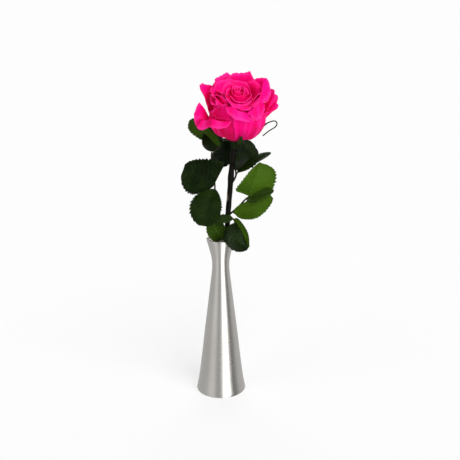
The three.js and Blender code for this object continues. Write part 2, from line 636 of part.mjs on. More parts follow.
function bloom() {
  const profile = BLOOM.core.map(([r, z]) => new THREE.Vector2(r, z));
  const core = new THREE.LatheGeometry(profile, 14).rotateX(Math.PI / 2).applyMatrix4(bloomFrame);
  return fuse([
    solidOf(core),
    ...RINGS.map(ringPetal).map((shape) => petal(shape, BLOOM.ringFaces)),
    ...WIDE_PETALS.map((shape, phase) => petal({ phase, shear: BLOOM.shear, ...shape }, BLOOM.wideFaces)),
    ...OUTER_PETALS.map((shape, phase) => petal({ phase, ...shape }, BLOOM.outerFaces)),
  ]);
}

// The assembled rose

const steel = new THREE.MeshStandardMaterial({ color: 0xb4b2ac, roughness: 0.32, metalness: 1 });
const bark = new THREE.MeshStandardMaterial({ color: 0x1a140e, roughness: 0.55, metalness: 0 });
const leafGreen = new THREE.MeshStandardMaterial({ color: 0x24401a, roughness: 0.45, metalness: 0 });
const petalPink = new THREE.MeshStandardMaterial({ color: 0xff0a87, roughness: 0.6, metalness: 0 });

const rose = new THREE.Group();
rose.add(meshOf("vase", vase(), steel));
rose.add(meshOf("stem", stem(), bark));
for (const [name, shape] of Object.entries(LEAVES)) rose.add(meshOf(name, compoundLeaf(shape), leafGreen));
rose.add(meshOf("calyx", calyx(), leafGreen));
rose.add(meshOf("bloom", bloom(), petalPink));

export default rose;
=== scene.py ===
# A preserved rose in a brushed steel bud vase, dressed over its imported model.
# Sizes in the dictionaries are millimetres, and every piece is built in metres in the model's frame.

import math
import bpy
import numpy as np
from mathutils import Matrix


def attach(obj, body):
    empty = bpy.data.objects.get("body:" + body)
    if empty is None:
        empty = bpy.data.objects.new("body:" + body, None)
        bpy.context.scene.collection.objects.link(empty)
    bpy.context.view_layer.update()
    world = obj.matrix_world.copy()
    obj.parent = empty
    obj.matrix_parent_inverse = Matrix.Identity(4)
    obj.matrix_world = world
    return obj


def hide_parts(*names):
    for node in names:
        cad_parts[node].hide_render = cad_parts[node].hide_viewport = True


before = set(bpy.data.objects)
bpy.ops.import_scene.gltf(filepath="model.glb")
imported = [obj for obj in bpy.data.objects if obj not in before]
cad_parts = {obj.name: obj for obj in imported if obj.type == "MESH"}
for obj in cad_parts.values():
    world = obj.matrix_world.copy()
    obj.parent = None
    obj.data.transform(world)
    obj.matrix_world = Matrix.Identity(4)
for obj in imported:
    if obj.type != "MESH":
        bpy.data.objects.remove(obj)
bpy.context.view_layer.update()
print("frame loaded:", ", ".join(sorted(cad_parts)))

mm = 0.001
weldDistance = 2e-6  # metres
white = (1, 1, 1, 1)


# Small tools

def mix(low, high, share):
    return low + (high - low) * share


def smooth(share):
    eased = np.clip(share, 0, 1)
    return eased * eased * (3 - 2 * eased)


def normalized(rows):
    return rows / np.linalg.norm(rows, axis=-1, keepdims=True)


def deselectAll():
    if bpy.context.object and bpy.context.object.mode != "OBJECT":
        bpy.ops.object.mode_set(mode="OBJECT")
    bpy.ops.object.select_all(action="DESELECT")


def makeActive(piece):
    deselectAll()
    piece.select_set(True)
    bpy.context.view_layer.objects.active = piece


# A smooth curve through the points, read at shares v from 0 to 1. A loose curve keeps an even pace
# from point to point, and the other kind doesn't swing out where the points lie unevenly.
def splinePoint(points, v, loose=True):
    spots = np.array(points, float)
    spots = np.vstack([2 * spots[0] - spots[1], spots, 2 * spots[-1] - spots[-2]])
    spans = len(points) - 1
    place = np.clip(np.asarray(v, float), 0, 1) * spans
    span = np.minimum(place.astype(int), spans - 1)
    t = (place - span)[..., None]
    before, start, end, after = spots[span], spots[span + 1], spots[span + 2], spots[span + 3]
    if loose:
        leaving, arriving = (end - before) / 2, (after - start) / 2
    else:
        first, middle, last = [np.sum((far - near) ** 2, -1, keepdims=True) ** 0.25
                               for near, far in ((before, start), (start, end), (end, after))]
        leaving = (start - before) / first - (end - before) / (first + middle) + (end - start) / middle
        arriving = (end - start) / middle - (after - start) / (middle + last) + (after - end) / last
        leaving, arriving = leaving * middle, arriving * middle
    return ((2 * t**3 - 3 * t**2 + 1) * start + (t**3 - 2 * t**2 + t) * leaving
            + (3 * t**2 - 2 * t**3) * end + (t**3 - t**2) * arriving)


def splineTangent(points, v):
    step = 1e-4
    ahead = splinePoint(points, np.minimum(v + step, 1))
    return normalized(ahead - splinePoint(points, np.maximum(v - step, 0)))


# A grid whose points are put on surface(u, v), u from -1 to 1 across and v from 0 to 1 along.
def gridPiece(name, columns, rows, surface):
    deselectAll()
    bpy.ops.mesh.primitive_grid_add(x_subdivisions=columns, y_subdivisions=rows, size=2)
    piece = bpy.context.object
    piece.name = piece.data.name = name
    flat = np.empty(len(piece.data.vertices) * 3)
    piece.data.vertices.foreach_get("co", flat)
    flat = flat.reshape(-1, 3)
    u, v = np.round(flat[:, 0], 6), np.round((flat[:, 1] + 1) / 2, 6)
    piece.data.vertices.foreach_set("co", (surface(u, v) * mm).ravel())
    piece.data.update()
    return piece


def applyModifier(piece, kind, **values):
    modifier = piece.modifiers.new(kind.lower(), kind)
    for key, value in values.items():
        setattr(modifier, key, value)
    makeActive(piece)
    bpy.ops.object.modifier_apply(modifier=modifier.name)


def smoothShade(piece, degrees):
    makeActive(piece)
    bpy.ops.object.shade_smooth_by_angle(angle=math.radians(degrees))


def cleanMesh(piece):
    makeActive(piece)
    bpy.ops.object.mode_set(mode="EDIT")
    bpy.ops.mesh.select_all(action="SELECT")
    bpy.ops.mesh.remove_doubles(threshold=weldDistance)
    bpy.ops.mesh.normals_make_consistent(inside=False)
    bpy.ops.object.mode_set(mode="OBJECT")


# A number at each point of the mesh, which the material reads by the attribute's name.
def markPoints(piece, name, values):
    marks = piece.data.attributes.new(name, "FLOAT", "POINT")
    marks.data.foreach_set("value", np.full(len(piece.data.vertices), values))


def joinPieces(name, pieces):
    deselectAll()
    for piece in pieces:
        piece.select_set(True)
    bpy.context.view_layer.objects.active = pieces[0]
    bpy.ops.object.join()
    whole = bpy.context.object
    whole.name = whole.data.name = name
    return whole


# A round tube with closed ends through rows of centres.
def tubePiece(name, centres, radii, sides):
    along = normalized(np.gradient(centres, axis=0))
    side = normalized(np.cross(along, [0.0, 1.0, 0.0]))
    front = np.cross(along, side)
    last = len(radii) - 1

    def surface(u, v):
        row = np.rint(v * (last + 2)).astype(int) - 1
        ring = np.clip(row, 0, last)
        turn = (np.pi * u)[:, None]
        reach = (np.asarray(radii)[ring] * (ring == row))[:, None]
        return centres[ring] + reach * (np.cos(turn) * side[ring] + np.sin(turn) * front[ring])

    piece = gridPiece(name, sides, last + 2, surface)
    cleanMesh(piece)
    return piece


def triangleCount(piece):
    return sum(len(face.vertices) - 2 for face in piece.data.polygons)


def dress(piece, node, material=None):
    if material:
        piece.data.materials.clear()
        piece.data.materials.append(material)
    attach(piece, "root")
    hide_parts(node)
    print(piece.name, "built:", triangleCount(piece), "triangles")


def without(shape, name):
    return {key: value for key, value in shape.items() if key != name}


# Node tools

def fillSocket(tree, socket, value):
    if hasattr(value, "is_output"):
        tree.links.new(value, socket)
    else:
        socket.default_value = value


def addNode(tree, kind, values=None, **settings):
    node = tree.nodes.new("ShaderNode" + kind)
    for key, value in settings.items():
        setattr(node, key, value)
    for key, value in (values or {}).items():
        fillSocket(tree, node.inputs[key], value)
    return node


def calculate(tree, operation, first, second=0.0, third=0.0):
    return addNode(tree, "Math", {0: first, 1: second, 2: third}, operation=operation).outputs[0]


def times(tree, first, second):
    return calculate(tree, "MULTIPLY", first, second)


def remap(tree, value, low, high, toLow=0.0, toHigh=1.0, ease="SMOOTHSTEP"):
    ends = {"Value": value, "From Min": low, "From Max": high, "To Min": toLow, "To Max": toHigh}
    return addNode(tree, "MapRange", ends, interpolation_type=ease).outputs["Result"]


def blendColor(tree, share, first, second):
    return addNode(tree, "Mix", {0: share, 6: first, 7: second}, data_type="RGBA").outputs[2]


def stretched(tree, place, scale):
    return addNode(tree, "Mapping", {"Vector": place, "Scale": scale}).outputs[0]


def distance(tree, place):
    return addNode(tree, "VectorMath", {0: place}, operation="LENGTH").outputs["Value"]


def noise(tree, place, scale, detail, roughness=0.5):
    values = {"Vector": place, "Scale": scale, "Detail": detail, "Roughness": roughness}
    return addNode(tree, "TexNoise", values).outputs[0]


def pointMark(tree, name):
    return addNode(tree, "Attribute", attribute_name=name).outputs["Fac"]


def newMaterial(name, **values):
    material = bpy.data.materials.new(name)
    material.use_nodes = True
    tree = material.node_tree
    tree.nodes.clear()
    shader = addNode(tree, "BsdfPrincipled")
    for key, value in values.items():
        shader.inputs[key.replace("_", " ")].default_value = value
    addNode(tree, "OutputMaterial", {"Surface": shader.outputs[0]}, name="surface")
    return material, tree, shader


def addBump(tree, shader, height, strength, depth):
    bump = addNode(tree, "Bump", {"Strength": strength, "Distance": depth, "Height": height})
    tree.links.new(bump.outputs[0], shader.inputs["Normal"])


def newGroup(name, inputs, outputs):
    group = bpy.data.node_groups.new(name, "ShaderNodeTree")
    for label, kind, value in inputs:
        socket = group.interface.new_socket(name=label, in_out="INPUT", socket_type="NodeSocket" + kind)
        if value is not None:
            socket.default_value = value
    for label, kind in outputs:
        group.interface.new_socket(name=label, in_out="OUTPUT", socket_type="NodeSocket" + kind)
    return group, group.nodes.new("NodeGroupInput"), group.nodes.new("NodeGroupOutput")


def useGroup(tree, group, values):
    return addNode(tree, "Group", values, node_tree=group)


# The camera and the light

# place in metres, down in degrees below the horizon, lens and sensor in millimetres
cameraView = {"place": (0.00915, -0.6026, 0.3267), "down": 14.716, "lens": 50, "sensor": 36, "near": 0.01}

studio = {
    # share of the way round from behind over the left side, and how bright the walls are there
    "walls": [(0.0, 0.62), (0.30, 0.58), (0.35, 0.86), (0.41, 0.86), (0.44, 0.44), (0.5, 0.42), (0.62, 0.40),
              (0.655, 0.17), (0.70, 0.20), (0.75, 0.50), (0.78, 0.64), (1.0, 0.62)],
    "wallTop": 0.42, "wallBlur": 0.12,  # sine of the height where the walls end
    "ceiling": 0.14,
    # left edge, right edge in degrees round from the camera, lowest and highest sine, strength,
    # softness of the sides in radians
    "softboxes": [(12, 45, -0.97, 0.5, 3.0, 0.16), (0, 64, 0.42, 0.85, 4.2, 0.03),
                  (150, 215, 0.4, 0.9, 1.6, 0.03), (-75, -40, 0.45, 0.8, 1.7, 0.03)],
    "footBlur": 0.03, "topBlur": 0.05,  # softness of a softbox's lower and upper edge
    "backdrop": 0.985,
    "floorSize": 0.5, "floorNear": 0.08,  # metres: the floor fades from the second to the first
    "floorWhite": (0.80, 0.80, 0.80, 1), "floorMatt": (0.39, 0.39, 0.39, 1), "floorGlow": 0.61,
}


def makeCamera():
    view = cameraView
    deselectAll()
    bpy.ops.object.camera_add(location=view["place"], rotation=(math.radians(90 - view["down"]), 0, 0))
    camera = bpy.context.object
    camera.data.lens = view["lens"]
    camera.data.sensor_width = view["sensor"]
    camera.data.clip_start = view["near"]
    bpy.context.scene.camera = camera


# How far a direction lies inside a softbox, from 0 to 1 over its soft edges.
def softboxShare(tree, turn, height, left, right, bottom, top, soft):
    middle, half = math.radians((left + right) / 2), math.radians((right - left) / 2)
    offset = calculate(tree, "WRAP", calculate(tree, "SUBTRACT", turn, middle), math.pi, -math.pi)
    beside = remap(tree, calculate(tree, "ABSOLUTE", offset), half + soft, half - soft)
    overFoot = remap(tree, height, bottom - studio["footBlur"], bottom + studio["footBlur"])
    underTop = remap(tree, height, top + studio["topBlur"], top - studio["topBlur"])
    return times(tree, beside, times(tree, overFoot, underTop))


# The walls, ceiling and softboxes that light the rose; the camera itself sees a white backdrop.
def makeRoom():
    world = bpy.data.worlds.new("studio")
    bpy.context.scene.world = world
    world.use_nodes = True
    tree = world.node_tree
    tree.nodes.clear()
    coords = addNode(tree, "TexCoord")
    x, y, height = addNode(tree, "SeparateXYZ", {0: coords.outputs["Generated"]}).outputs
    turn = calculate(tree, "ARCTAN2", x, times(tree, y, -1.0))
    ramp = addNode(tree, "ValToRGB", {0: calculate(tree, "MULTIPLY_ADD", turn, 0.5 / math.pi, 0.5)})
    stops = ramp.color_ramp.elements
    while len(stops) < len(studio["walls"]):
        stops.new(0.5)
    for stop, (place, level) in zip(stops, studio["walls"]):
        stop.position = place
        stop.color = (level, level, level, 1)
    low = remap(tree, height, studio["wallTop"] + studio["wallBlur"], studio["wallTop"] - studio["wallBlur"])
    room = addNode(tree, "Mix", {0: low, 2: studio["ceiling"], 3: ramp.outputs[0]}).outputs[0]
    for left, right, bottom, top, strength, soft in studio["softboxes"]:
        inside = softboxShare(tree, turn, height, left, right, bottom, top, soft)
        room = calculate(tree, "MULTIPLY_ADD", inside, strength, room)
    seen = addNode(tree, "LightPath").outputs["Is Camera Ray"]
    lit = addNode(tree, "Background", {"Color": white, "Strength": room}).outputs[0]
    backdrop = addNode(tree, "Background", {"Color": white, "Strength": studio["backdrop"]})
    choose = addNode(tree, "MixShader", {0: seen, 1: lit, 2: backdrop.outputs[0]})
    addNode(tree, "OutputWorld", {0: choose.outputs[0]})


# A white table that fades into the backdrop away from the vase.
def makeFloor():
    deselectAll()
    bpy.ops.mesh.primitive_circle_add(vertices=96, radius=studio["floorSize"], fill_type="NGON")
    floor = bpy.context.object
    floor.name = "studioFloor"
    material, tree, shader = newMaterial("floorWhite", Base_Color=studio["floorWhite"], Roughness=0.9,
                                         Specular_IOR_Level=0.1)
    place = addNode(tree, "TexCoord").outputs["Object"]
    near = remap(tree, distance(tree, place), studio["floorSize"], studio["floorNear"])
    glow = addNode(tree, "Emission", {"Color": white, "Strength": studio["floorGlow"]})
    backdrop = addNode(tree, "Emission", {"Color": white, "Strength": studio["backdrop"]})
    matt = addNode(tree, "BsdfDiffuse", {"Color": studio["floorMatt"]})
    table = addNode(tree, "AddShader", {0: glow.outputs[0], 1: matt.outputs[0]})
    shown = addNode(tree, "MixShader", {0: near, 1: backdrop.outputs[0], 2: table.outputs[0]})
    seen = addNode(tree, "LightPath").outputs["Is Camera Ray"]
    both = addNode(tree, "MixShader", {0: seen, 1: shader.outputs[0], 2: shown.outputs[0]})
    tree.links.new(both.outputs[0], tree.nodes["surface"].inputs["Surface"])
    floor.data.materials.append(material)
    floor.visible_glossy = False  # the steel mirrors the room, as on a small table


# Shared patterns

# Mottle: soft patches and fine speckle, for living tissue and metal alike
def makeMottle():
    group, given, result = newGroup("mottle", [
        ("Place", "Vector", None), ("Patch Scale", "Float", 60.0), ("Speckle Scale", "Float", 600.0),
        ("Speckle Share", "Float", 0.3)], [("Value", "Float")])
    place, patchScale, speckleScale, speckleShare = given.outputs[:4]
    patches = noise(group, place, patchScale, 3.0, 0.55)
    speckle = noise(group, place, speckleScale, 2.0, 0.6)
    blended = addNode(group, "Mix", {0: speckleShare, 2: patches, 3: speckle}).outputs[0]
    group.links.new(remap(group, blended, 0.3, 0.7), result.inputs["Value"])
    return group


veinPattern = {
    "wander": 0.06, "bow": 1.25,  # how unevenly the side veins start, and how they curve forwards
    "midrib": (0.05, 0.012), "fade": 0.55,  # half widths of the midrib, and where side veins begin to fade
    "netScale": 34.0, "netWidth": 0.07,
    "puff": 0.6, "groove": 0.7, "netDepth": 0.14,  # heights in the relief
}


# Veins: a midrib, side veins that run forwards from it, and a fine net, from a blade's own UV map
def makeVeins():
    pattern = veinPattern
    group, given, result = newGroup("veins", [
        ("UV", "Vector", None), ("Pairs", "Float", 8.0), ("Slant", "Float", 1.6), ("Width", "Float", 0.1)],
        [("Lines", "Float"), ("Relief", "Float")])
    blade, pairs, slant, width = given.outputs[:4]
    sideways, along = addNode(group, "SeparateXYZ", {0: blade}).outputs[:2]
    offset = calculate(group, "ABSOLUTE", calculate(group, "SUBTRACT", sideways, 0.5))
    across = times(group, offset, 2.0)
    start = calculate(group, "MULTIPLY_ADD", noise(group, blade, 5.0, 1.0), pattern["wander"], along)
    forward = times(group, calculate(group, "POWER", across, pattern["bow"]), slant)
    phase = calculate(group, "SUBTRACT", times(group, start, pairs), forward)
    spread = calculate(group, "SUBTRACT", calculate(group, "FRACT", phase), 0.5)
    between = calculate(group, "ABSOLUTE", spread)
    sideVein = times(group, remap(group, between, width, 0.0), remap(group, across, 1.0, pattern["fade"]))
    lines = calculate(group, "MAXIMUM", remap(group, across, *pattern["midrib"]), sideVein)
    cells = addNode(group, "TexVoronoi", {"Vector": blade, "Scale": pattern["netScale"]},
                    feature="DISTANCE_TO_EDGE")
    net = remap(group, cells.outputs["Distance"], pattern["netWidth"], 0.0)
    puffed = times(group, remap(group, between, 0.0, 0.5), pattern["puff"])
    grooved = calculate(group, "SUBTRACT", puffed, times(group, lines, pattern["groove"]))
    relief = calculate(group, "SUBTRACT", grooved, times(group, net, pattern["netDepth"]))
    group.links.new(lines, result.inputs["Lines"])
    group.links.new(relief, result.inputs["Relief"])
    return group


mottle = makeMottle()
veins = makeVeins()


def mottled(tree, place, patchScale, speckleScale, speckleShare):
    return useGroup(tree, mottle, {"Place": place, "Patch Scale": patchScale, "Speckle Scale": speckleScale,
                                   "Speckle Share": speckleShare}).outputs[0]


# The vase: brushed steel, turned

vaseShape = {
    "wall": 1.1, "floor": 1.6, "sides": 96, "rings": 56,
    # height and radius from the flat base to the mouth
    "outline": [[0, 24.3], [0.8, 24.9], [12, 22.8], [39, 19.3], [66, 16.2], [92, 13.0], [117, 9.95],
                [126, 8.85], [133, 8.5], [138, 8.75], [142, 9.4], [150, 11.4], [160, 14.2]],
    "footEdge": (0.35, 24.7),
    # height, and inset from the radius just below the rim
    "rim": [(159.9, 0.15), (160, 0.45), (159.95, 0.8), (159.6, 1.0)],
    "well": [(0.6, 23.2), (0, 22.6)],  # height over the floor, and radius inside
    "color": (0.64, 0.62, 0.59, 1), "dullColor": (0.56, 0.54, 0.505, 1), "roughness": (0.28, 0.24),
    "grainScale": (6, 6, 900), "grainStrength": 0.06, "grainDepth": 0.00004,
}


def steelMaterial():
    shape = vaseShape
    material, tree, shader = newMaterial("brushedSteel", Metallic=1.0, Anisotropic=0.45)
    place = addNode(tree, "TexCoord").outputs["Object"]
    grain = noise(tree, stretched(tree, place, shape["grainScale"]), 3.0, 2.0, 0.6)
    cloud = mottled(tree, place, 26.0, 900.0, 0.15)
    worn = calculate(tree, "MULTIPLY_ADD", cloud, 0.5, times(tree, grain, 0.5))
    tree.links.new(blendColor(tree, worn, shape["dullColor"], shape["color"]), shader.inputs["Base Color"])
    tree.links.new(remap(tree, worn, 0.2, 0.8, *shape["roughness"], "LINEAR"), shader.inputs["Roughness"])
    addBump(tree, shader, grain, shape["grainStrength"], shape["grainDepth"])
    return material


def makeVase():
    shape = vaseShape
    outline = np.array(shape["outline"], float)
    top = outline[-1, 0]
    curve = splinePoint(np.c_[outline[1:], np.zeros(len(outline) - 1)], np.linspace(0, 1, 400), loose=False)

    def radiusAt(height):
        return float(np.interp(height, curve[:, 0], curve[:, 1]))

    heights = np.concatenate([[0.8, 3], np.linspace(8, top - 0.4, shape["rings"])])
    steps = [shape["footEdge"]] + [(height, radiusAt(height)) for height in heights]
    steps += [(height, steps[-1][1] - inset) for height, inset in shape["rim"]]
    steps += [(height, radiusAt(height) - shape["wall"]) for height in heights[::-1]
              if 2 * shape["floor"] < height < top - 1]
    steps += [(shape["floor"] + height, radius) for height, radius in shape["well"]]
    height, radius = outline[0]
    deselectAll()
    bpy.ops.mesh.primitive_circle_add(vertices=shape["sides"], radius=radius * mm, fill_type="NGON")
    vase = bpy.context.object
    bpy.ops.object.mode_set(mode="EDIT")
    bpy.ops.mesh.select_all(action="SELECT")
    for nextHeight, nextRadius in steps:
        bpy.ops.mesh.extrude_region_move(TRANSFORM_OT_translate={"value": (0, 0, (nextHeight - height) * mm)})
        growth = nextRadius / radius
        bpy.ops.transform.resize(value=(growth, growth, 1), center_override=(0, 0, nextHeight * mm))
        height, radius = nextHeight, nextRadius
    bpy.ops.object.mode_set(mode="OBJECT")
    cleanMesh(vase)
    smoothShade(vase, 50)
    vase.name = vase.data.name = "vaseShell"
    dress(vase, "vase", steelMaterial())


# The stem: dark bark with swellings, thorn stubs and one pale scar

stemShape = {
    "radius": 2.6, "sides": 28, "rings": 150,
    "path": [[-6.6, 1.7, 2.2], [-1.5, 1.9, 67], [3.8, 2.1, 132], [5.8, 1.8, 158.5], [7.2, 1.5, 183.5],
             [8.9, 1.3, 205], [10.6, 1.4, 227.5], [12.4, 1.9, 243], [13.5, 1.5, 250.9]],
    "unevenness": 0.12,
    "swellings": [[0.715, 0.4, 0.035], [0.865, 0.4, 0.03]],  # place, extra radius, half length
    "thorns": [[0.3, 200, 2.6], [0.79, 280, 2.2], [0.93, 30, 2.4]],  # place, turn, length
    "thornReach": [-0.6, 0, 0.3, 0.7, 1.0], "thornRadii": [1.7, 1.9, 1.2, 0.6, 0.15],  # root to blunt tip
    "thornDrop": 0.06, "thornSides": 14,
    "scar": (0.0068, -0.0012, 0.2006), "scarSize": (0.0006, 0.004, 0.0036),  # metres
    "dark": (0.0016, 0.0014, 0.0011, 1), "warm": (0.007, 0.0045, 0.003, 1),
    "green": (0.004, 0.005, 0.0022, 1), "pale": (0.2, 0.17, 0.11, 1),
}


def barkMaterial():
    shape = stemShape
    material, tree, shader = newMaterial("darkBark", Specular_IOR_Level=0.08)
    place = addNode(tree, "TexCoord").outputs["Object"]
    tall = stretched(tree, place, (1, 1, 0.16))
    streaks = noise(tree, tall, 900.0, 3.0, 0.6)
    cloud = mottled(tree, tall, 130.0, 1400.0, 0.25)
    color = blendColor(tree, remap(tree, streaks, 0.42, 0.66), shape["dark"], shape["warm"])
    color = blendColor(tree, times(tree, cloud, 0.4), color, shape["green"])
    scarMap = {"Vector": place, "Location": shape["scar"], "Scale": shape["scarSize"]}
    fromScar = addNode(tree, "Mapping", scarMap, vector_type="TEXTURE").outputs[0]
    color = blendColor(tree, remap(tree, distance(tree, fromScar), 1.1, 0.8), color, shape["pale"])
    tree.links.new(color, shader.inputs["Base Color"])
    tree.links.new(remap(tree, streaks, 0.3, 0.7, 0.38, 0.62, "LINEAR"), shader.inputs["Roughness"])
    addBump(tree, shader, streaks, 0.5, 0.0003)
    return material


def thornPiece(place, turn, length):
    shape = stemShape
    at = splinePoint(shape["path"], np.array([place]), loose=False)[0]
    heading = np.array([math.cos(math.radians(turn)), math.sin(math.radians(turn)), 0.0])
    reach = np.array(shape["thornReach"]) * length
    drop = np.outer(reach**2, [0, 0, shape["thornDrop"]])
    points = at + heading * (shape["radius"] + reach)[:, None] - drop
    return tubePiece("thorn", points, shape["thornRadii"], shape["thornSides"])


def makeStem():
    shape = stemShape
    v = np.linspace(0, 1, shape["rings"])
    radii = shape["radius"] + shape["unevenness"] * np.sin(v * 61) * np.sin(v * 23 + 1)
    for place, extra, length in shape["swellings"]:
        radii += extra * np.exp(-((v - place) / length) ** 2 * 2)
    pieces = [tubePiece("stemTube", splinePoint(shape["path"], v, loose=False), radii, shape["sides"])]
    pieces += [thornPiece(*thorn) for thorn in shape["thorns"]]
    stem = joinPieces("barkStem", pieces)
    smoothShade(stem, 60)
    dress(stem, "stem", barkMaterial())


# Leaves: each leaflet is a blade round a sheet, with a stalk and fine teeth

leafFinish = {
    "teeth": 13, "toothDepth": 0.052, "toothBand": 0.72, "toothLean": 0.22, "unevenTeeth": 0.35,
    "toothStops": [0, 0.34, 0.66, 0.92], "toothRises": [-1, -0.25, 0.5, 1.0],  # one tooth's saw shape
    "thickness": 0.42, "columns": 18, "stalkRadius": 0.85, "stalkSides": 12,
    # glint is the strength of a painted highlight on the puffed tissue between the veins
    "upper": {"base": (0.0015, 0.005, 0.0004, 1), "light": (0.026, 0.058, 0.006, 1),
              "vein": (0.012, 0.024, 0.008, 1), "roughness": 0.3, "paintedGlint": 0.4, "specular": 0.06},
    "under": {"base": (0.022, 0.052, 0.002, 1), "light": (0.05, 0.115, 0.004, 1),
              "vein": (0.07, 0.13, 0.012, 1), "roughness": 0.52, "paintedGlint": 0.0, "specular": 0.06},
    "stalk": (0.012, 0.02, 0.004, 1), "stalkWarm": (0.022, 0.012, 0.006, 1),
}

# Each leaf's stalks and leaflets. A leaflet's spine runs from stalk to tip, face is the side that its
# upper skin looks to, and tone runs from dark to light. half is the width of each half, widest the place
# where it is widest and blunt how round it is, first for u below 0 and then for u above it.
leaves = {
    "leaf_left": {
        "stalks": [
            [[5.2, -0.5, 166], [0.5, 0.5, 179], [-4, 3, 192.5], [-5.4, 6, 206.9], [-5.6, 7, 212.6],
             [-6.8, 9, 226], [-8.7, 10, 237.5], [-8.1, 10, 244.5]],
            [[-8.3, 10, 239], [-5, 9.5, 245], [-0.5, 8.4, 249.5]],
        ],
        "leaflets": [
            {"spine": [[-5.4, 5.6, 207.5], [-11.5, -5, 195.5], [-15, -11, 175]], "face": [-0.3, -0.85, 0.45],
             "half": [14.5, 17], "widest": [0.6, 0.6], "blunt": [0.6, 0.45], "tone": 0.22},
            {"spine": [[-5.6, 6.6, 213], [-19, 8, 220], [-36, 12, 226.5]], "face": [-0.25, -0.97, -0.03],
             "half": [20.5, 22.5], "widest": [0.62, 0.12], "blunt": [0.42, 0.41], "fold": 8, "tone": 0.04},
            {"spine": [[-8.1, 10, 243.8], [-7.6, 12, 255], [-6.2, 20, 272]], "face": [0.2, -0.9, 0.4],
             "half": [10, 10], "tone": 0.05},
            {"spine": [[-0.6, 8.4, 249.3], [-15, 10, 262.5], [-27, 6, 275]], "face": [-0.1, 0.75, 0.65],
             "half": [6, 12], "widest": [0.42, 0.65], "blunt": [0.72, 0.6], "tone": 0.02},
        ],
    },
    "leaf_back": {
        "stalks": [
            [[12, 1, 216], [14.7, 3.4, 221.2], [14.6, 6.5, 226], [13.6, 9, 232], [13.8, 11, 243.1]],
            [[14.7, 3.6, 221.4], [15.5, 4.8, 223], [17, 6, 225]],
        ],
        "leaflets": [
            {"spine": [[16.4, 5.8, 224.5], [31, 3.5, 233.5], [47.9, 1, 243.4]], "face": [-0.45, -0.25, 0.85],
             "half": [12, 8], "tone": 0.25},
            {"spine": [[11.5, 11.5, 242], [24, 15, 241.5], [34.5, 28, 245]], "face": [0.1, -0.95, 0.25],
             "half": [15, 16.5], "widest": [0.55, 0.24], "blunt": [0.6, 0.4], "tone": 0.03},
            {"spine": [[13.8, 11, 242.2], [3.5, 16.5, 239.7], [-9, 27, 236]], "face": [-0.1, -0.85, 0.5],
             "half": [13, 15], "tone": 0},
        ],
    },
    "leaf_right": {
        "stalks": [
            [[8.4, -1, 184], [11.5, -3, 187.2], [17.5, -7, 193.5], [23.3, -10, 200.6], [27.1, -11, 204],
             [29.4, -12, 207.4], [30.6, -12.5, 212.2]],
            [[11.8, -3.3, 187.5], [14.4, -6, 186]],
        ],
        "leaflets": [
            {"spine": [[28.4, -12, 204], [31, -16, 217], [35.5, -13, 230], [37.5, -6, 235.5]],
             "face": [0.1, 0.9, -0.25], "half": [18.5, 15], "widest": [0.46, 0.05], "blunt": [0.4, 0.8],
             "tone": 0.75},
            {"spine": [[25.6, -11.5, 202], [37.1, -19, 206.9], [49.4, -25, 212]], "face": [-0.2, -0.5, 0.85],
             "half": [9, 9], "tone": 1},
            {"spine": [[13.8, -5.6, 186], [30, -13, 194.1], [48, -18, 205.5]], "face": [0.25, 0.9, 0.3],
             "half": [12, 7], "blunt": [0.55, 0.55], "tone": 0.8},
        ],
    },
    "leaf_low_right": {
        "stalks": [[[8.5, -2, 180.5], [11.3, -5, 181.6], [14.9, -10, 178]]],
        "leaflets": [
            {"spine": [[13, -7.5, 181], [20.5, -17, 171], [26.8, -19, 156.4]], "face": [0.8, 0.5, 0.1],
             "half": [7, 7], "tone": 0.8},
            {"spine": [[14.9, -10, 178], [14.5, -17, 170], [18, -20, 162], [26, -19.5, 155]],
             "face": [0.1, -0.75, 0.6], "half": [7, 12.5], "widest": [0.5, 0.5], "blunt": [0.72, 0.8],
             "tone": 0.03},
            {"spine": [[11.3, -5.3, 181.7], [3.4, -8, 181.5], [-7, -10, 179.5]], "face": [-0.1, -0.6, 0.8],
             "half": [5, 5], "tone": 0.45},
        ],
    },
    "leaf_low_left": {
        "stalks": [[[5.4, -2, 157], [2.3, -4, 161]]],
        "leaflets": [
            {"spine": [[2.6, -3.8, 160.4], [-4.4, -5.5, 170], [-8, -4, 186]], "face": [-0.2, 0.9, 0.2],
             "half": [9, 9], "tone": 0},
        ],
    },
}


# How far a bent section reaches to the side and up at a share of its width. slopeAt gives the slope
# in degrees.
def bentSection(share, slopeAt):
    steps = 12
    side = rise = 0
    for step in range(steps):
        slope = np.radians(slopeAt((step + 0.5) / steps * share))
        side = side + np.cos(slope) * share / steps
        rise = rise + np.sin(slope) * share / steps
    return side, rise


# The middle sheet of a leaflet or sepal. fold and curl shape its section, wave ripples the margins and
# puff lifts the tissue between the side veins. taper draws the tip out.
def leafletSheet(spine, face, half, fold=15, curl=25, widest=(0.42, 0.42), blunt=(0.72, 0.72), wave=0.6,
                 taper=0, puff=0.25):

    def sheet(u, v, tooth=0.0):
        along = splineTangent(spine, v)
        right = normalized(np.cross(along, face))
        up = np.cross(right, along)
        power = np.log(0.5) / np.log(np.where(u < 0, *widest))
        outline = np.sin(np.pi * mix(0.012, 0.985, v) ** power) ** np.where(u < 0, *blunt) * (1 - v) ** taper
        reach = np.where(u < 0, *half) * outline * (1 + tooth) + 0.5
        aside = np.abs(u)
        side, rise = bentSection(aside, lambda share: fold - curl * share * share)
        ripple = wave * aside * aside * outline * np.sin(9 * v + np.where(u < 0, 0, 2))
        quilt = np.sin(np.pi * aside) * np.abs(np.sin(np.pi * (8 * v - 1.6 * aside**1.25))) ** 0.7
        above = rise * reach + ripple + puff * outline * quilt
        return splinePoint(spine, v) + right * (np.sign(u) * side * reach)[:, None] + up * above[:, None]

    return sheet


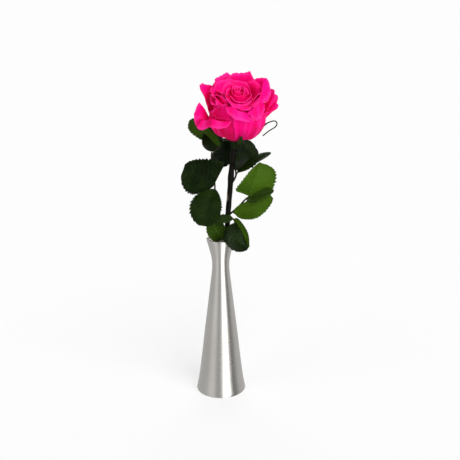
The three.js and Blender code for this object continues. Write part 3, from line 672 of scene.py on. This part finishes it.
def leafletPiece(shape, number, upper, under):
    finish = leafFinish
    stops, rises = np.array(finish["toothStops"]), np.array(finish["toothRises"])
    rows = finish["teeth"] * len(stops)
    sheet = leafletSheet(**without(shape, "tone"))

    def toothed(u, v):
        row = np.rint(v * rows).astype(int)
        tooth, stop = row // len(stops), row % len(stops)
        edge = smooth((np.abs(u) - finish["toothBand"]) / (1 - finish["toothBand"]))
        uneven = 1 + finish["unevenTeeth"] * np.sin(tooth * 2.3 + number)
        depth = finish["toothDepth"] * rises[stop] * uneven * edge * (row % rows != 0)
        forward = finish["toothLean"] / finish["teeth"] * (rises[stop] + 1) / 2 * edge
        return sheet(u, np.minimum((tooth + stops[stop]) / finish["teeth"] + forward, 1), depth)

    piece = gridPiece("leaflet", finish["columns"], rows, toothed)
    piece.data.materials.append(upper)
    piece.data.materials.append(under)
    applyModifier(piece, "SOLIDIFY", thickness=finish["thickness"] * mm, offset=0.0, material_offset=1)
    markPoints(piece, "tone", shape["tone"])
    return piece


def stalkPiece(points, material):
    v = np.linspace(0, 1, 12 * len(points))
    radii = leafFinish["stalkRadius"] * (1.12 - 0.3 * v)
    piece = tubePiece("stalk", splinePoint(points, v), radii, leafFinish["stalkSides"])
    piece.data.materials.append(material)
    markPoints(piece, "tone", 0.5)
    return piece


def leafMaterial(name, finish):
    material, tree, shader = newMaterial(name, Specular_IOR_Level=finish["specular"])
    coords = addNode(tree, "TexCoord")
    pattern = useGroup(tree, veins, {"UV": coords.outputs["UV"], "Pairs": 8.0, "Slant": 1.6, "Width": 0.09})
    lines, relief = pattern.outputs
    patches = mottled(tree, coords.outputs["Object"], 70.0, 700.0, 0.3)
    tone = times(tree, pointMark(tree, "tone"), 0.8)
    paleness = calculate(tree, "MULTIPLY_ADD", patches, 0.15, tone)
    color = blendColor(tree, paleness, finish["base"], finish["light"])
    color = blendColor(tree, times(tree, lines, 0.4), color, finish["vein"])
    # painted highlight: in some patches the puffed tissue between the veins is lightened towards the light
    # colour
    paintedGlintShare = times(tree, relief, remap(tree, patches, 0.5, 0.75, 0, finish["paintedGlint"]))
    color = blendColor(tree, paintedGlintShare, color, finish["light"])
    smoothest, roughest = finish["roughness"] - 0.05, finish["roughness"] + 0.08
    tree.links.new(color, shader.inputs["Base Color"])
    tree.links.new(remap(tree, patches, 0, 1, smoothest, roughest, "LINEAR"), shader.inputs["Roughness"])
    addBump(tree, shader, relief, 0.4, 0.0004)
    return material


def stalkMaterial():
    material, tree, shader = newMaterial("leafStalk", Roughness=0.5, Specular_IOR_Level=0.15)
    cloud = mottled(tree, addNode(tree, "TexCoord").outputs["Object"], 160.0, 1500.0, 0.4)
    color = blendColor(tree, cloud, leafFinish["stalk"], leafFinish["stalkWarm"])
    tree.links.new(color, shader.inputs["Base Color"])
    addBump(tree, shader, cloud, 0.4, 0.0002)
    return material


def makeLeaves():
    upper = leafMaterial("leafUpper", leafFinish["upper"])
    under = leafMaterial("leafUnder", leafFinish["under"])
    stalk = stalkMaterial()
    for node, shape in leaves.items():
        pieces = [leafletPiece(leaflet, number, upper, under)
                  for number, leaflet in enumerate(shape["leaflets"])]
        pieces += [stalkPiece(points, stalk) for points in shape["stalks"]]
        whole = joinPieces(node.replace("leaf_", "foliage_"), pieces)
        smoothShade(whole, 55)
        dress(whole, node)


# The bloom, in its own frame: the third axis is the bloom's, the second points up and back

bloomPose = {"tilt": 30, "lean": 3, "centre": [14.0, -2.6, 258]}

bloomTilt = math.radians(bloomPose["tilt"])
bloomLean = math.radians(bloomPose["lean"])
bloomAxis = normalized(np.array([math.sin(bloomLean), -math.sin(bloomTilt), math.cos(bloomTilt)]))
bloomRight = normalized(np.cross([0.0, 1.0, 0.0], bloomAxis))
bloomBack = np.cross(bloomAxis, bloomRight)


def inBloom(points):
    return np.array(bloomPose["centre"]) + points @ np.array([bloomRight, bloomBack, bloomAxis])


# A closed solid turned round the bloom's axis, from rows of radius and height.
def turnedPiece(name, profile, sides):
    rings = np.array(profile, float)

    def surface(u, v):
        radius, height = rings[np.rint(v * (len(rings) - 1)).astype(int)].T
        return inBloom(np.c_[radius * np.cos(np.pi * u), radius * np.sin(np.pi * u), height])

    piece = gridPiece(name, sides, len(rings) - 1, surface)
    cleanMesh(piece)
    return piece


calyxShape = {
    "hip": [[0, -7], [2.3, -7.1], [2.9, -6.7], [3.2, -6], [3.6, -5.4], [4.8, -3], [5.5, -1.2], [5.6, -0.8],
            [5.4, -0.2], [5, 0.2], [0, 0.2]],
    "neck": [[13.2, 1.65, 248.2], [13.4, 1.55, 250], [13.55, 1.3, 251.6], [13.75, 0.6, 253.2]],
    "neckRadii": [2.55, 2.8, 2.98, 3.3],
    "sepals": [
        {"spine": [[4.2, -1.6, -1.4], [11, -2, 3], [17.6, -2, 9.4], [22.4, -1.5, 14.6], [25.4, -1, 17.6],
                   [31.5, -1.5, 22], [35.2, -2.2, 23.2], [36.8, -4, 22], [35.4, -6.4, 19.8], [30, -9.1, 17],
                   [24.6, -12.3, 13.5]],
         "widest": (0.3, 0.3), "taper": 3.5, "rows": 90},
        {"spine": [[4.2, -1.6, -1.6], [11, -2, 2.8], [17.6, -2, 9.2], [23, -1.5, 14.8], [28, -1.2, 19.3]],
         "half": [3.2, 3.2], "widest": (0.6, 0.6), "taper": 0.3, "rows": 40},
        {"spine": [[-4.4, -1.6, -1.4], [-11, -5, 1], [-16, -5.5, 5], [-22.2, -3, 12.6]], "rows": 40},
        {"spine": [[0.6, -4.6, -1.4], [2.4, -12, 1.6], [3.6, -19.5, 7.6], [4.4, -24.8, 15.5],
                   [5, -27.6, 22.5]],
         "half": [3.6, 3.6], "widest": (0.55, 0.55), "taper": 0.4, "rows": 40},
        {"spine": [[3.2, 3.4, -1.4], [9, 11, -0.6], [13, 16, 3.4], [17, 20, 9]], "rows": 40},
        {"spine": [[-2.6, 3.8, -1.4], [-8, 12, -1], [-13, 19, 0.5], [-18, 24, 0.5]], "rows": 40},
    ],
    # what the sepals share, unless one says otherwise
    "sepal": {"face": [0, 0, 1], "half": [2.6, 2.6], "fold": 10, "curl": 0, "widest": (0.16, 0.16), "wave": 0,
              "taper": 1.6, "puff": 0},
    "sepalColumns": 8, "sepalThickness": 0.5, "sides": 32,
    "finish": {"base": (0.006, 0.016, 0.003, 1), "light": (0.03, 0.07, 0.01, 1),
               "vein": (0.04, 0.08, 0.015, 1), "roughness": 0.5, "paintedGlint": 0.0, "specular": 0.05},
}


def sepalPiece(shape):
    values = {**calyxShape["sepal"], **without(shape, "rows")}
    sheet = leafletSheet(**values)
    piece = gridPiece("sepal", calyxShape["sepalColumns"], shape["rows"], lambda u, v: inBloom(sheet(u, v)))
    applyModifier(piece, "SOLIDIFY", thickness=calyxShape["sepalThickness"] * mm, offset=0.0)
    markPoints(piece, "tone", 0.25)
    return piece


def makeCalyx():
    shape = calyxShape
    pieces = [sepalPiece(sepal) for sepal in shape["sepals"]]
    v = np.linspace(0, 1, 16)
    radii = np.interp(v, np.linspace(0, 1, len(shape["neckRadii"])), shape["neckRadii"])
    hip = turnedPiece("hip", shape["hip"], shape["sides"])
    neck = tubePiece("neck", splinePoint(shape["neck"], v), radii, shape["sides"])
    for piece in (hip, neck):
        markPoints(piece, "tone", 0)
    whole = joinPieces("greenCalyx", pieces + [hip, neck])
    smoothShade(whole, 55)
    dress(whole, "calyx", leafMaterial("sepalGreen", shape["finish"]))


bloomShape = {
    "petalThickness": 0.6, "rimThickness": 0.4,  # the second as a share of the first
    "rimWidth": 0.86,  # a petal's width at its rim as a share of its full width
    "lastRing": 17,  # radius from which the rings roll over fully
    "columns": 26, "rows": 34, "innerRows": 28, "coreSides": 24, "fibreScale": (46, 2.2, 1),
    "core": [[0, 0.6], [5.2, 0.6], [11.5, 4.6], [17, 11.5], [21.5, 19], [22.8, 26], [21.5, 33], [17, 39],
             [12, 41.5], [7, 42], [0, 42]],
    "shear": 2,  # how far a wide petal's one side stands out before the other
    # tone says how far up a petal the painted shade of its foot reaches, and a list gives it across the petal
    # the bud and the rings that wind round it: turn, rim radius, rim height, half span in degrees,
    # belly, spiral, tuck
    "rings": [
        [60, 1.5, 53.8, 150, 5, 0.6, 0.08], [200, 2.7, 53.6, 120, 7, 0.7, 0.08],
        [320, 3.9, 53.0, 110, 8, 0.7, 0.08], [100, 5.0, 52.5, 100, 8.6, 0.8, 0.08],
        [265, 5.8, 51.8, 100, 9.2, 0.8, 0.1], [15, 7.0, 50.0, 75, 9.6, 0.8, 0.1],
        [188, 8.4, 51.0, 80, 10.5, 1.2, 0.3], [282, 10.0, 49.8, 76, 12, 1.0, 0.1],
        [172, 11.6, 51.4, 84, 12.8, 1.0, 0.3], [272, 12.8, 49.6, 64, 14.8, 1.0, 0.1],
        [162, 14.2, 51.6, 80, 15.4, 1.0, 0.3], [288, 15.0, 48.8, 58, 17.4, 1.0, 0.1],
        [178, 16.6, 51.2, 70, 18.4, 1.0, 0.3],
    ],
    # the petals round the rings, with tone and point where they aren't the usual ones
    "wideNames": ["turn", "root", "belly", "rim", "lip", "half", "cup", "flare", "roll", "tone", "point"],
    "wide": [
        [92, [7, 30], 9, [13, 52], [3, 0.6], 15, [80, 62], 10, 40, 0.9],
        [18, [8, 28], 12, [17, 51.5], [3.5, 1.5], 19, [80, 60], 30, 70, 1.1],
        [335, [10, 20], 20, [17, 47.5], [4, 2.5], 16, [70, 55], 40, 80],
        [178, [9, 20], 21, [19, 51], [4, 2], 20, [75, 58], 30, 70],
        [200, [10, 18], 23, [21.5, 46.5], [3, 1.5], 15, [70, 58], 30, 70],
        [236, [9, 18], 22, [18.5, 48.5], [4, 3], 18, [70, 50], 40, 80, 0.5, 0.03],
        [280, [9, 18], 22, [16.5, 48.5], [4, 2.5], 17, [70, 55], 30, 80],
    ],
    "ribRoot": (5, 4),  # radius and height where every rib starts
    # the outermost petals, most of them led through ribs that are written as in ribSheet
    "outer": [
        {"ribs": [[200, [18, 196, 12], [26, 191, 26], [30, 189, 34], [36, 190, 43]],
                  [205, [18.5, 202, 12], [28, 199, 24], [34, 196, 30], [40, 195, 30]],
                  [212, [19, 210, 12], [29, 208, 25], [35, 207, 29], [40, 205, 23]],
                  [222, [19.5, 221, 12], [29.5, 220, 26], [33.5, 217, 32.5], [38, 218, 23.5]],
                  [228, [19, 228, 12], [27.5, 230, 27], [31.5, 231, 36], [35, 232, 29.5]],
                  [233, [18.4, 234, 12], [26.5, 237, 26], [29.5, 249, 37.5], [33, 252, 32.5]],
                  [237, [18, 238, 12], [25.8, 241, 26], [28.3, 256, 36.5], [29.5, 262, 39]]],
         "folds": [[-0.55, 0.8, 0.1], [-0.3, -0.8, 0.09], [-0.02, 0.9, 0.1], [0.25, -0.8, 0.09],
                   [0.5, 0.8, 0.1]],
         "notches": [[-0.3, 0.04, 0.08], [0.25, 0.05, 0.1]],
         "nick": 0.01, "tone": [0.6, 0.3, 0.6, 0.9, 0.9]},
        {"ribs": [[140, [18, 142, 12], [25, 145, 30], [25, 148, 42], [26, 150, 47]],
                  [150, [18, 152, 12], [26, 154, 30], [28, 158, 42], [30, 160, 49.5]],
                  [160, [18, 162, 12], [27, 164, 30], [30, 167, 42], [34.5, 168, 51.5]],
                  [170, [18, 170, 12], [26.5, 172, 28], [29.5, 173, 39], [34, 173, 47]],
                  [180, [18, 178, 12], [25, 178, 25], [26.5, 178, 33], [28.5, 177, 39]]],
         "folds": [[0.2, 0.8, 0.12], [0.6, -0.8, 0.12]], "notches": [[0.25, 0.03, 0.06]], "nick": 0.01,
         "tone": [0.2, 0.4, 0.9]},
        {"ribs": [[-20, [17, -17, 12], [23, -14, 22], [26, -13, 29], [26.5, -12, 35]],
                  [-12, [17, -10, 12], [24, -8, 24], [29, -7, 31], [31, -8, 35.5]],
                  [-4, [17, -3, 12], [24.8, -2, 26], [31, -1, 34], [36, 0, 39]],
                  [4, [17, 4, 12], [25.4, 4, 28], [30, 6, 36], [35.5, 7, 44.5]],
                  [12, [17, 12, 12], [26, 12, 30], [29.5, 13, 39], [32.5, 14, 50]],
                  [20, [18, 20, 12], [26, 21, 30], [27, 21, 39], [27, 22, 48]]], "ruffle": 0.7,
         "nick": 0.012, "notches": [[0.02, 0.06, 0.08], [-0.45, 0.05, 0.07], [0.42, 0.03, 0.06]],
         "folds": [[-0.3, 1.2, 0.12], [0.25, 1.0, 0.12], [0.65, 0.8, 0.1]], "tone": [1, 0.7, 0.3, 0.3, 0.8]},
        {"ribs": [[-28, [18, -28, 12], [24, -27, 30], [18, -25, 42], [19.5, -25, 43]],
                  [-18, [18, -17, 12], [24, -16, 32], [18, -15, 46], [21.5, -17, 44]],
                  [-8, [18, -7, 12], [24, -6, 34], [19.5, -5, 50], [26, -6, 43.5]],
                  [0, [18, 2, 12], [24, 4, 35], [20.5, 5, 52.5], [28.5, 6, 47]],
                  [10, [18, 12, 12], [24, 14, 35], [21.5, 16, 54], [29.6, 14, 51]],
                  [20, [18, 22, 12], [24.5, 24, 35], [23.5, 28, 54.5], [28.5, 30, 57]],
                  [32, [18, 36, 12], [24, 40, 34], [22, 46, 51.5], [24, 48, 54]]]},
        {"turn": 48, "belly": 27, "rim": [21, 52], "lip": [2.5, 0], "half": 15, "cup": [70, 50],
         "flare": 30, "point": 0.02, "roll": 20},
        {"turn": 84, "belly": 26, "rim": [19.5, 56], "lip": [2.5, 0], "half": 17, "cup": [70, 50],
         "flare": 30, "point": 0.1, "tipAt": -0.45, "roll": 10, "drop": 0.14},
        {"turn": 134, "belly": 27, "rim": [20.5, 54], "lip": [4, 0], "half": 17, "cup": [70, 50], "flare": 40,
         "point": 0.04, "tipAt": -0.5, "roll": 20, "drop": 0.16, "ruffle": 0.5},
        {"turn": 168, "belly": 27, "rim": [20.5, 51], "lip": [4, 2], "half": 18, "cup": [70, 50],
         "flare": 50, "roll": 50},
        {"ribs": [[215, [17.5, 208, 12], [25, 205, 26], [25.5, 205, 33], [26.5, 205, 37]],
                  [222, [17.5, 218, 12], [25, 218, 30], [25, 218, 42], [27.5, 219, 39]],
                  [236, [17.5, 236, 12], [25, 236, 30], [23.5, 237, 43], [22, 239, 49.5]],
                  [250, [17.5, 252, 12], [25, 252, 32], [23, 254, 48.5], [28.5, 252, 46]],
                  [265, [17.5, 268, 12], [25, 270, 32], [24.5, 271, 47.5], [30.5, 270, 42]],
                  [280, [17.5, 284, 12], [25, 287, 31], [25, 288, 44], [30.5, 288, 39]],
                  [290, [17.5, 294, 12], [25.5, 297, 28], [26, 298, 39], [28.5, 297, 37]]],
         "folds": [[-0.75, 0.8, 0.08], [-0.5, -0.7, 0.08], [0.1, -0.6, 0.1], [0.4, 0.6, 0.12]],
         "tone": [1.2, 1.2, 0.8, 0.1, 0, 0, 0]},
        {"ribs": [[285, [17.5, 288, 12], [25, 290, 30], [24.5, 290, 43.5], [26.5, 291, 44]],
                  [298, [17.5, 300, 12], [25.5, 302, 30], [23.5, 305, 46.5], [30, 302, 38.5]],
                  [310, [17.5, 314, 12], [25.5, 317, 30], [22, 318, 47.5], [28.5, 314, 37]],
                  [322, [17.5, 326, 12], [25.5, 328, 30], [21.5, 327, 48], [27, 325, 36]],
                  [332, [17.5, 336, 12], [25, 338, 28], [24, 338, 46.5], [26, 338, 37.5]]],
         "folds": [[-0.5, -0.6, 0.1], [0.1, 0.7, 0.15], [0.55, -0.6, 0.1]], "nick": 0.01},
        {"ribs": [[268, [17.6, 268, 12], [25, 264, 27], [25.2, 260, 36], [25.6, 258, 41]],
                  [275, [19, 274, 12], [27.2, 271, 27], [27.8, 268, 36], [27.8, 268, 42]],
                  [284, [18.5, 284, 12], [26.8, 285, 27], [27.4, 286, 36], [27.5, 288, 42]],
                  [292, [19.2, 294, 12], [28, 297, 26], [29, 300, 34], [29.5, 302, 39]]],
         "folds": [[-0.45, 0.7, 0.07], [-0.1, -0.5, 0.1], [0.35, 0.6, 0.12], [0.8, 0.5, 0.08]]},
        {"ribs": [[286, [17, 287, 11], [24.2, 291, 25], [24.6, 294, 33], [24.6, 296, 37]],
                  [303, [18.6, 304, 11], [25.4, 306, 25], [25.6, 308, 33], [25.4, 310, 37]],
                  [323, [21, 326, 11], [28, 328, 25], [27.5, 328, 33], [26.5, 328, 37]],
                  [343, [20, 346, 11], [26.5, 346, 24], [26, 346, 32], [26, 345, 36]]],
         "folds": [[0, 0.8, 0.12], [0.4, -0.7, 0.1]], "tone": [1.2, 0.9, 0.2, 0.1, 0]},
        {"turn": 350, "belly": 23, "rim": [22, 42], "lip": [2, 1], "half": 18, "cup": [70, 60], "flare": 30},
        {"ribs": [[195, [18, 195, 12], [25.5, 195, 24], [25.5, 195, 30], [26, 195, 33]],
                  [215, [18, 214, 12], [26, 212, 25], [26, 212, 32], [26.5, 212, 36]],
                  [235, [18, 236, 12], [26, 236, 26], [26, 236, 33], [26.5, 236, 37]],
                  [258, [17.6, 260, 12], [25.2, 264, 26], [25.2, 268, 34], [25.2, 270, 38]]],
         "folds": [[0.1, 0.8, 0.08], [0.5, -0.6, 0.1]], "tone": 1.6},
    ],
    "inside": (0.09, 0.0, 0.012, 1),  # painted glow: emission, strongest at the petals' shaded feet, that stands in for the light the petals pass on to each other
    # the first colour here is painted shade, for the petals' feet and the folds' valleys
    "paintedShadePink": (0.52, 0.0004, 0.045, 1), "pink": (0.9, 0.0003, 0.168, 1), "bright": (1.0, 0.003, 0.25, 1),
    # painted highlight, along the rims and on the folds' ridges
    "rim": (1.0, 0.04, 0.34, 1),
}


# The middle sheet of a petal. turn is the side of the bloom it grows on, belly how far out it swells,
# rim the place of its upper edge and lip how far the edge rolls over outwards and down. tipAt moves
# the tip to one side, drop rounds the corners, cup wraps the margins in and flare rolls them back.
def petalSheet(turn, belly, rim, lip, half, root=(5, 4), drop=0.22, cup=(70, 45), flare=60, point=0.05,
               tipAt=0, shear=0, wave=0.8, phase=0, roll=0, rollFrom=0.8, ruffle=0.25, nick=0.008):
    shares = np.linspace(0, 1.2, 241)  # past the rim, for the tip
    t = shares[:, None]
    throat = [rim[0] - 0.8 * lip[0], rim[1] - 9 + 3.8 * lip[1]]
    corners = np.array([root, [belly, root[1]], throat, [rim[0] + lip[0], rim[1] - lip[1]]], float)
    path = ((1 - t)**3 * corners[0] + 3 * (1 - t)**2 * t * corners[1] + 3 * (1 - t) * t**2 * corners[2]
            + t**3 * corners[3])
    steps = np.diff(path, axis=0)
    beyond = shares[:-1] > 1
    heading = np.unwrap(np.arctan2(steps[:, 1], steps[:, 0]))
    heading[beyond] = heading[~beyond][-1]
    heading = heading - np.radians(roll) * smooth((shares[:-1] - rollFrom) / (1.05 - rollFrom))
    length = np.linalg.norm(steps, axis=1)
    length[beyond] = length[~beyond][-1]
    rolled = np.c_[np.cos(heading), np.sin(heading)] * length[:, None]
    path = corners[0] + np.vstack([[0, 0], np.cumsum(rolled, axis=0)])
    heading = np.append(heading, heading[-1])
    cosTurn, sinTurn = math.cos(math.radians(turn)), math.sin(math.radians(turn))
    rimWidth = bloomShape["rimWidth"]

    def sheet(u, v):
        aside = np.abs(u)
        tip = point * v**6 * np.maximum(0, 1 - np.abs(u - tipAt) / 0.45) ** 1.5
        place = v * (1 - drop * v * aside**2.4) + tip - nick * nicks(u, v, phase)
        lean = np.interp(place, shares, heading)
        reach = half * mix(0.3, 1, smooth(v / 0.6)) * mix(1, rimWidth, smooth((v - 0.6) / 0.4))
        back = flare * smooth((v - 0.45) / 0.55)
        side, rise = bentSection(aside, lambda share: (mix(cup[0], cup[1], v) * share
                                                   - back * (np.maximum(0, share - 0.45) / 0.55) ** 1.5))
        lift = rise * reach + wave * v * v * aside * np.sin(5 * u + 4 * v + phase)
        lift = lift + ruffle * v**3 * (np.sin(11 * u + 3 * phase) + 0.6 * np.sin(19 * u + 5 * v + phase))
        lift = lift + 0.5 * ruffle * v**8 * np.sin(43 * u + 2 * phase)
        out = np.interp(place, shares, path[:, 0]) - np.sin(lean) * lift + shear * u
        up = np.interp(place, shares, path[:, 1]) + np.cos(lean) * lift
        across = np.sign(u) * side * reach
        return inBloom(np.c_[out * cosTurn - across * sinTurn, out * sinTurn + across * cosTurn, up])

    return sheet


# Weights with which count points in a row make a smooth curve, read at shares v from 0 to 1.
def curveWeights(count, v):
    place = np.clip(v, 0, 1) * (count - 1)
    first = np.minimum(place.astype(int), count - 2)
    t = place - first
    weights = np.zeros((len(v), count + 2))
    shares = [(2 * t**2 - t - t**3) / 2, (3 * t**3 - 5 * t**2 + 2) / 2, (4 * t**2 + t - 3 * t**3) / 2,
              (t**3 - t**2) / 2]
    for offset, share in enumerate(shares):
        weights[np.arange(len(v)), first + offset] += share
    weights[:, 1] += 2 * weights[:, 0]
    weights[:, 2] -= weights[:, 0]
    weights[:, -2] += 2 * weights[:, -1]
    weights[:, -3] -= weights[:, -1]
    return weights[:, 1:-1]


# Small nicks along a petal's rim, as shares of its length.
def nicks(u, v, phase):
    return v**8 * (np.sin(13 * u + phase) + np.sin(23 * u + 2 * phase) + 0.5 * np.sin(41 * u + 3 * phase))


# The height of the soft ridges that run along a petal.
def foldHeight(u, v, folds):
    ridges = sum(height * np.exp(-((u - place) / width) ** 2) for place, height, width in folds)
    return smooth(v / 0.25) * ridges


# The middle sheet of a petal led through ribs, each its root's turn and then points from there to the
# rim, as radius, turn and height.
# folds are soft ridges along the petal and notches are dents in its rim, both as [place, size, width].
def ribSheet(ribs, drop=0.05, ruffle=0.3, crease=0.4, phase=0, folds=(), notches=(), nick=0.008):
    radius, height = bloomShape["ribRoot"]
    ribs = np.array([[[radius, turn, height]] + points for turn, *points in ribs], float)
    turns = np.radians(ribs[..., 1])
    points = np.stack([ribs[..., 0] * np.cos(turns), ribs[..., 0] * np.sin(turns), ribs[..., 2]], axis=-1)

    def spot(u, v):
        dent = nick * nicks(u, v, phase)
        for place, depth, width in notches:
            dent = dent + depth * v**5 * np.exp(-((u - place) / width) ** 2)
        along = curveWeights(points.shape[1], v * (1 - drop * v * u**6) - dent)
        return np.einsum("nc,nr,crd->nd", curveWeights(len(points), (u + 1) / 2), along, points)

    def sheet(u, v):
        here = spot(u, v)
        across = spot(np.minimum(u + 0.02, 1), v) - spot(np.maximum(u - 0.02, -1), v)
        along = spot(u, np.minimum(v + 0.01, 1)) - spot(u, np.maximum(v - 0.01, 0))
        out = normalized(np.cross(across, along) + 1e-9)
        wave = ruffle * v**4 * (np.sin(9 * u + 3 * phase) + 0.6 * np.sin(17 * u + 4 * v + phase))
        wave = wave + crease * v**2 * np.sin(6 * u + 5 * v + 2 * phase)
        wave = wave + 0.12 * v**3 * np.sin(31 * u + 6 * v + phase) + 0.25 * v**8 * np.sin(43 * u + 2 * phase)
        return inBloom(here + out * (wave + foldHeight(u, v, folds))[:, None])

    return sheet


# A petal of the spiral as a petal shape: its section is an arc round the bloom's axis. The bud's
# petals stand nearly straight, and the last rings roll over most.
def ringPetal(number, turn, radius, height, span, belly, spiral, tuck):
    share = min(1, radius / bloomShape["lastRing"])
    half = radius * math.radians(span) / bloomShape["rimWidth"]
    return {
        "turn": turn, "root": [mix(2, 9, share), mix(39, 34, share)], "belly": belly, "rim": [radius, height],
        "lip": [mix(0.1, 2.6, share), mix(0, 1.4, share)], "half": half, "cup": [span * 0.8, span],
        "flare": mix(0, 22, share), "drop": tuck, "point": 0.02, "shear": spiral, "wave": 0.3,
        "phase": number, "roll": mix(10, 150, share), "rollFrom": mix(0.85, 0.76, share),
        "ruffle": mix(0.05, 0.25, share), "nick": 0.004,
    }


def petalMaterial():
    shape = bloomShape
    material, tree, shader = newMaterial(
        "pinkPetal", Sheen_Weight=0.02, Sheen_Roughness=0.4, Sheen_Tint=(1, 0.3, 0.6, 1),
        Subsurface_Weight=0.06, Subsurface_Scale=0.003, Subsurface_Radius=(1.0, 0.15, 0.4),
        Specular_IOR_Level=0.05, Emission_Strength=1.0)
    coords = addNode(tree, "TexCoord")
    along = addNode(tree, "SeparateXYZ", {0: coords.outputs["UV"]}).outputs[1]
    fibres = noise(tree, stretched(tree, coords.outputs["UV"], shape["fibreScale"]), 1.0, 3.0, 0.6)
    cloud = mottled(tree, coords.outputs["Object"], 90.0, 1800.0, 0.25)
    tone = pointMark(tree, "tone")  # painted shade: the shaded colour of the foot reaches up to between start and end
    start = calculate(tree, "MULTIPLY_ADD", tone, 0.5, 0.2)
    end = calculate(tree, "MULTIPLY_ADD", tone, 0.35, 0.6)
    high = remap(tree, along, start, end)
    color = blendColor(tree, high, shape["paintedShadePink"], shape["pink"])
    color = blendColor(tree, times(tree, cloud, 0.5), color, shape["bright"])
    # painted highlight: the colour lightens towards the rims
    color = blendColor(tree, remap(tree, along, 0.9, 1.0, 0, 0.6), color, shape["rim"])
    crease = pointMark(tree, "crease")  # the folds' heights, above 0 in their valleys and below 0 on their ridges: painted shade in the valleys and a painted highlight on the ridges
    color = blendColor(tree, remap(tree, crease, 0.0, 1.0, 0, 0.8), color, shape["paintedShadePink"])
    color = blendColor(tree, remap(tree, crease, 0.0, -1.5, 0, 0.8), color, shape["rim"])
    tree.links.new(color, shader.inputs["Base Color"])
    # painted glow: the petals' feet give off light of their own, to lift their shade
    tree.links.new(blendColor(tree, high, shape["inside"], (0, 0, 0, 1)), shader.inputs["Emission Color"])
    tree.links.new(remap(tree, cloud, 0, 1, 0.48, 0.62, "LINEAR"), shader.inputs["Roughness"])
    height = calculate(tree, "MULTIPLY_ADD", fibres, 0.7, times(tree, cloud, 0.5))
    addBump(tree, shader, height, 0.35, 0.0003)
    return material


def petalPiece(shape, rows):
    values = without(shape, "tone")
    sheet = ribSheet(**values) if "ribs" in shape else petalSheet(**values)
    columns = bloomShape["columns"]
    piece = gridPiece("petal", columns, rows, sheet)
    tones = np.atleast_1d(shape["tone"])
    across = np.tile(np.linspace(-1, 1, columns + 1), rows + 1)
    along = np.repeat(np.linspace(0, 1, rows + 1), columns + 1)
    markPoints(piece, "tone", np.interp(across, np.linspace(-1, 1, len(tones)), tones))
    # the folds' heights, which the material turns into painted shade in the valleys and a painted highlight
    # on the ridges
    if "folds" in shape:
        markPoints(piece, "crease", -foldHeight(across, along, shape["folds"]))
    thinning = piece.vertex_groups.new(name="thick")
    for row in range(rows + 1):
        points = list(range(row * (columns + 1), (row + 1) * (columns + 1)))
        thinning.add(points, mix(1, bloomShape["rimThickness"], smooth(row / rows * 4 - 3)), "REPLACE")
    thickness = bloomShape["petalThickness"] * mm
    applyModifier(piece, "SOLIDIFY", thickness=thickness, offset=0.0, vertex_group="thick")
    return piece


def makeBloom():
    shape = bloomShape
    # the inner rings' petals carry the painted shade highest, the outer petals least
    pieces = [petalPiece({"tone": 1, **ringPetal(number, *ring)}, shape["innerRows"])
              for number, ring in enumerate(shape["rings"])]
    wide = [dict(zip(shape["wideNames"], row)) for row in shape["wide"]]
    pieces += [petalPiece({"shear": shape["shear"], "phase": number, "tone": 0.5, **petal}, shape["rows"])
               for number, petal in enumerate(wide)]
    pieces += [petalPiece({"phase": number, "tone": 0, **petal}, shape["rows"])
               for number, petal in enumerate(shape["outer"])]
    heart = turnedPiece("heart", shape["core"], shape["coreSides"])
    whole = joinPieces("pinkBloom", pieces + [heart])
    smoothShade(whole, 60)
    dress(whole, "bloom", petalMaterial())


makeCamera()
makeRoom()
makeFloor()
print("camera, lights and floor ready")
makeVase()
makeStem()
makeLeaves()
makeCalyx()
makeBloom()

scene = bpy.context.scene
scene.view_settings.view_transform = "Standard"
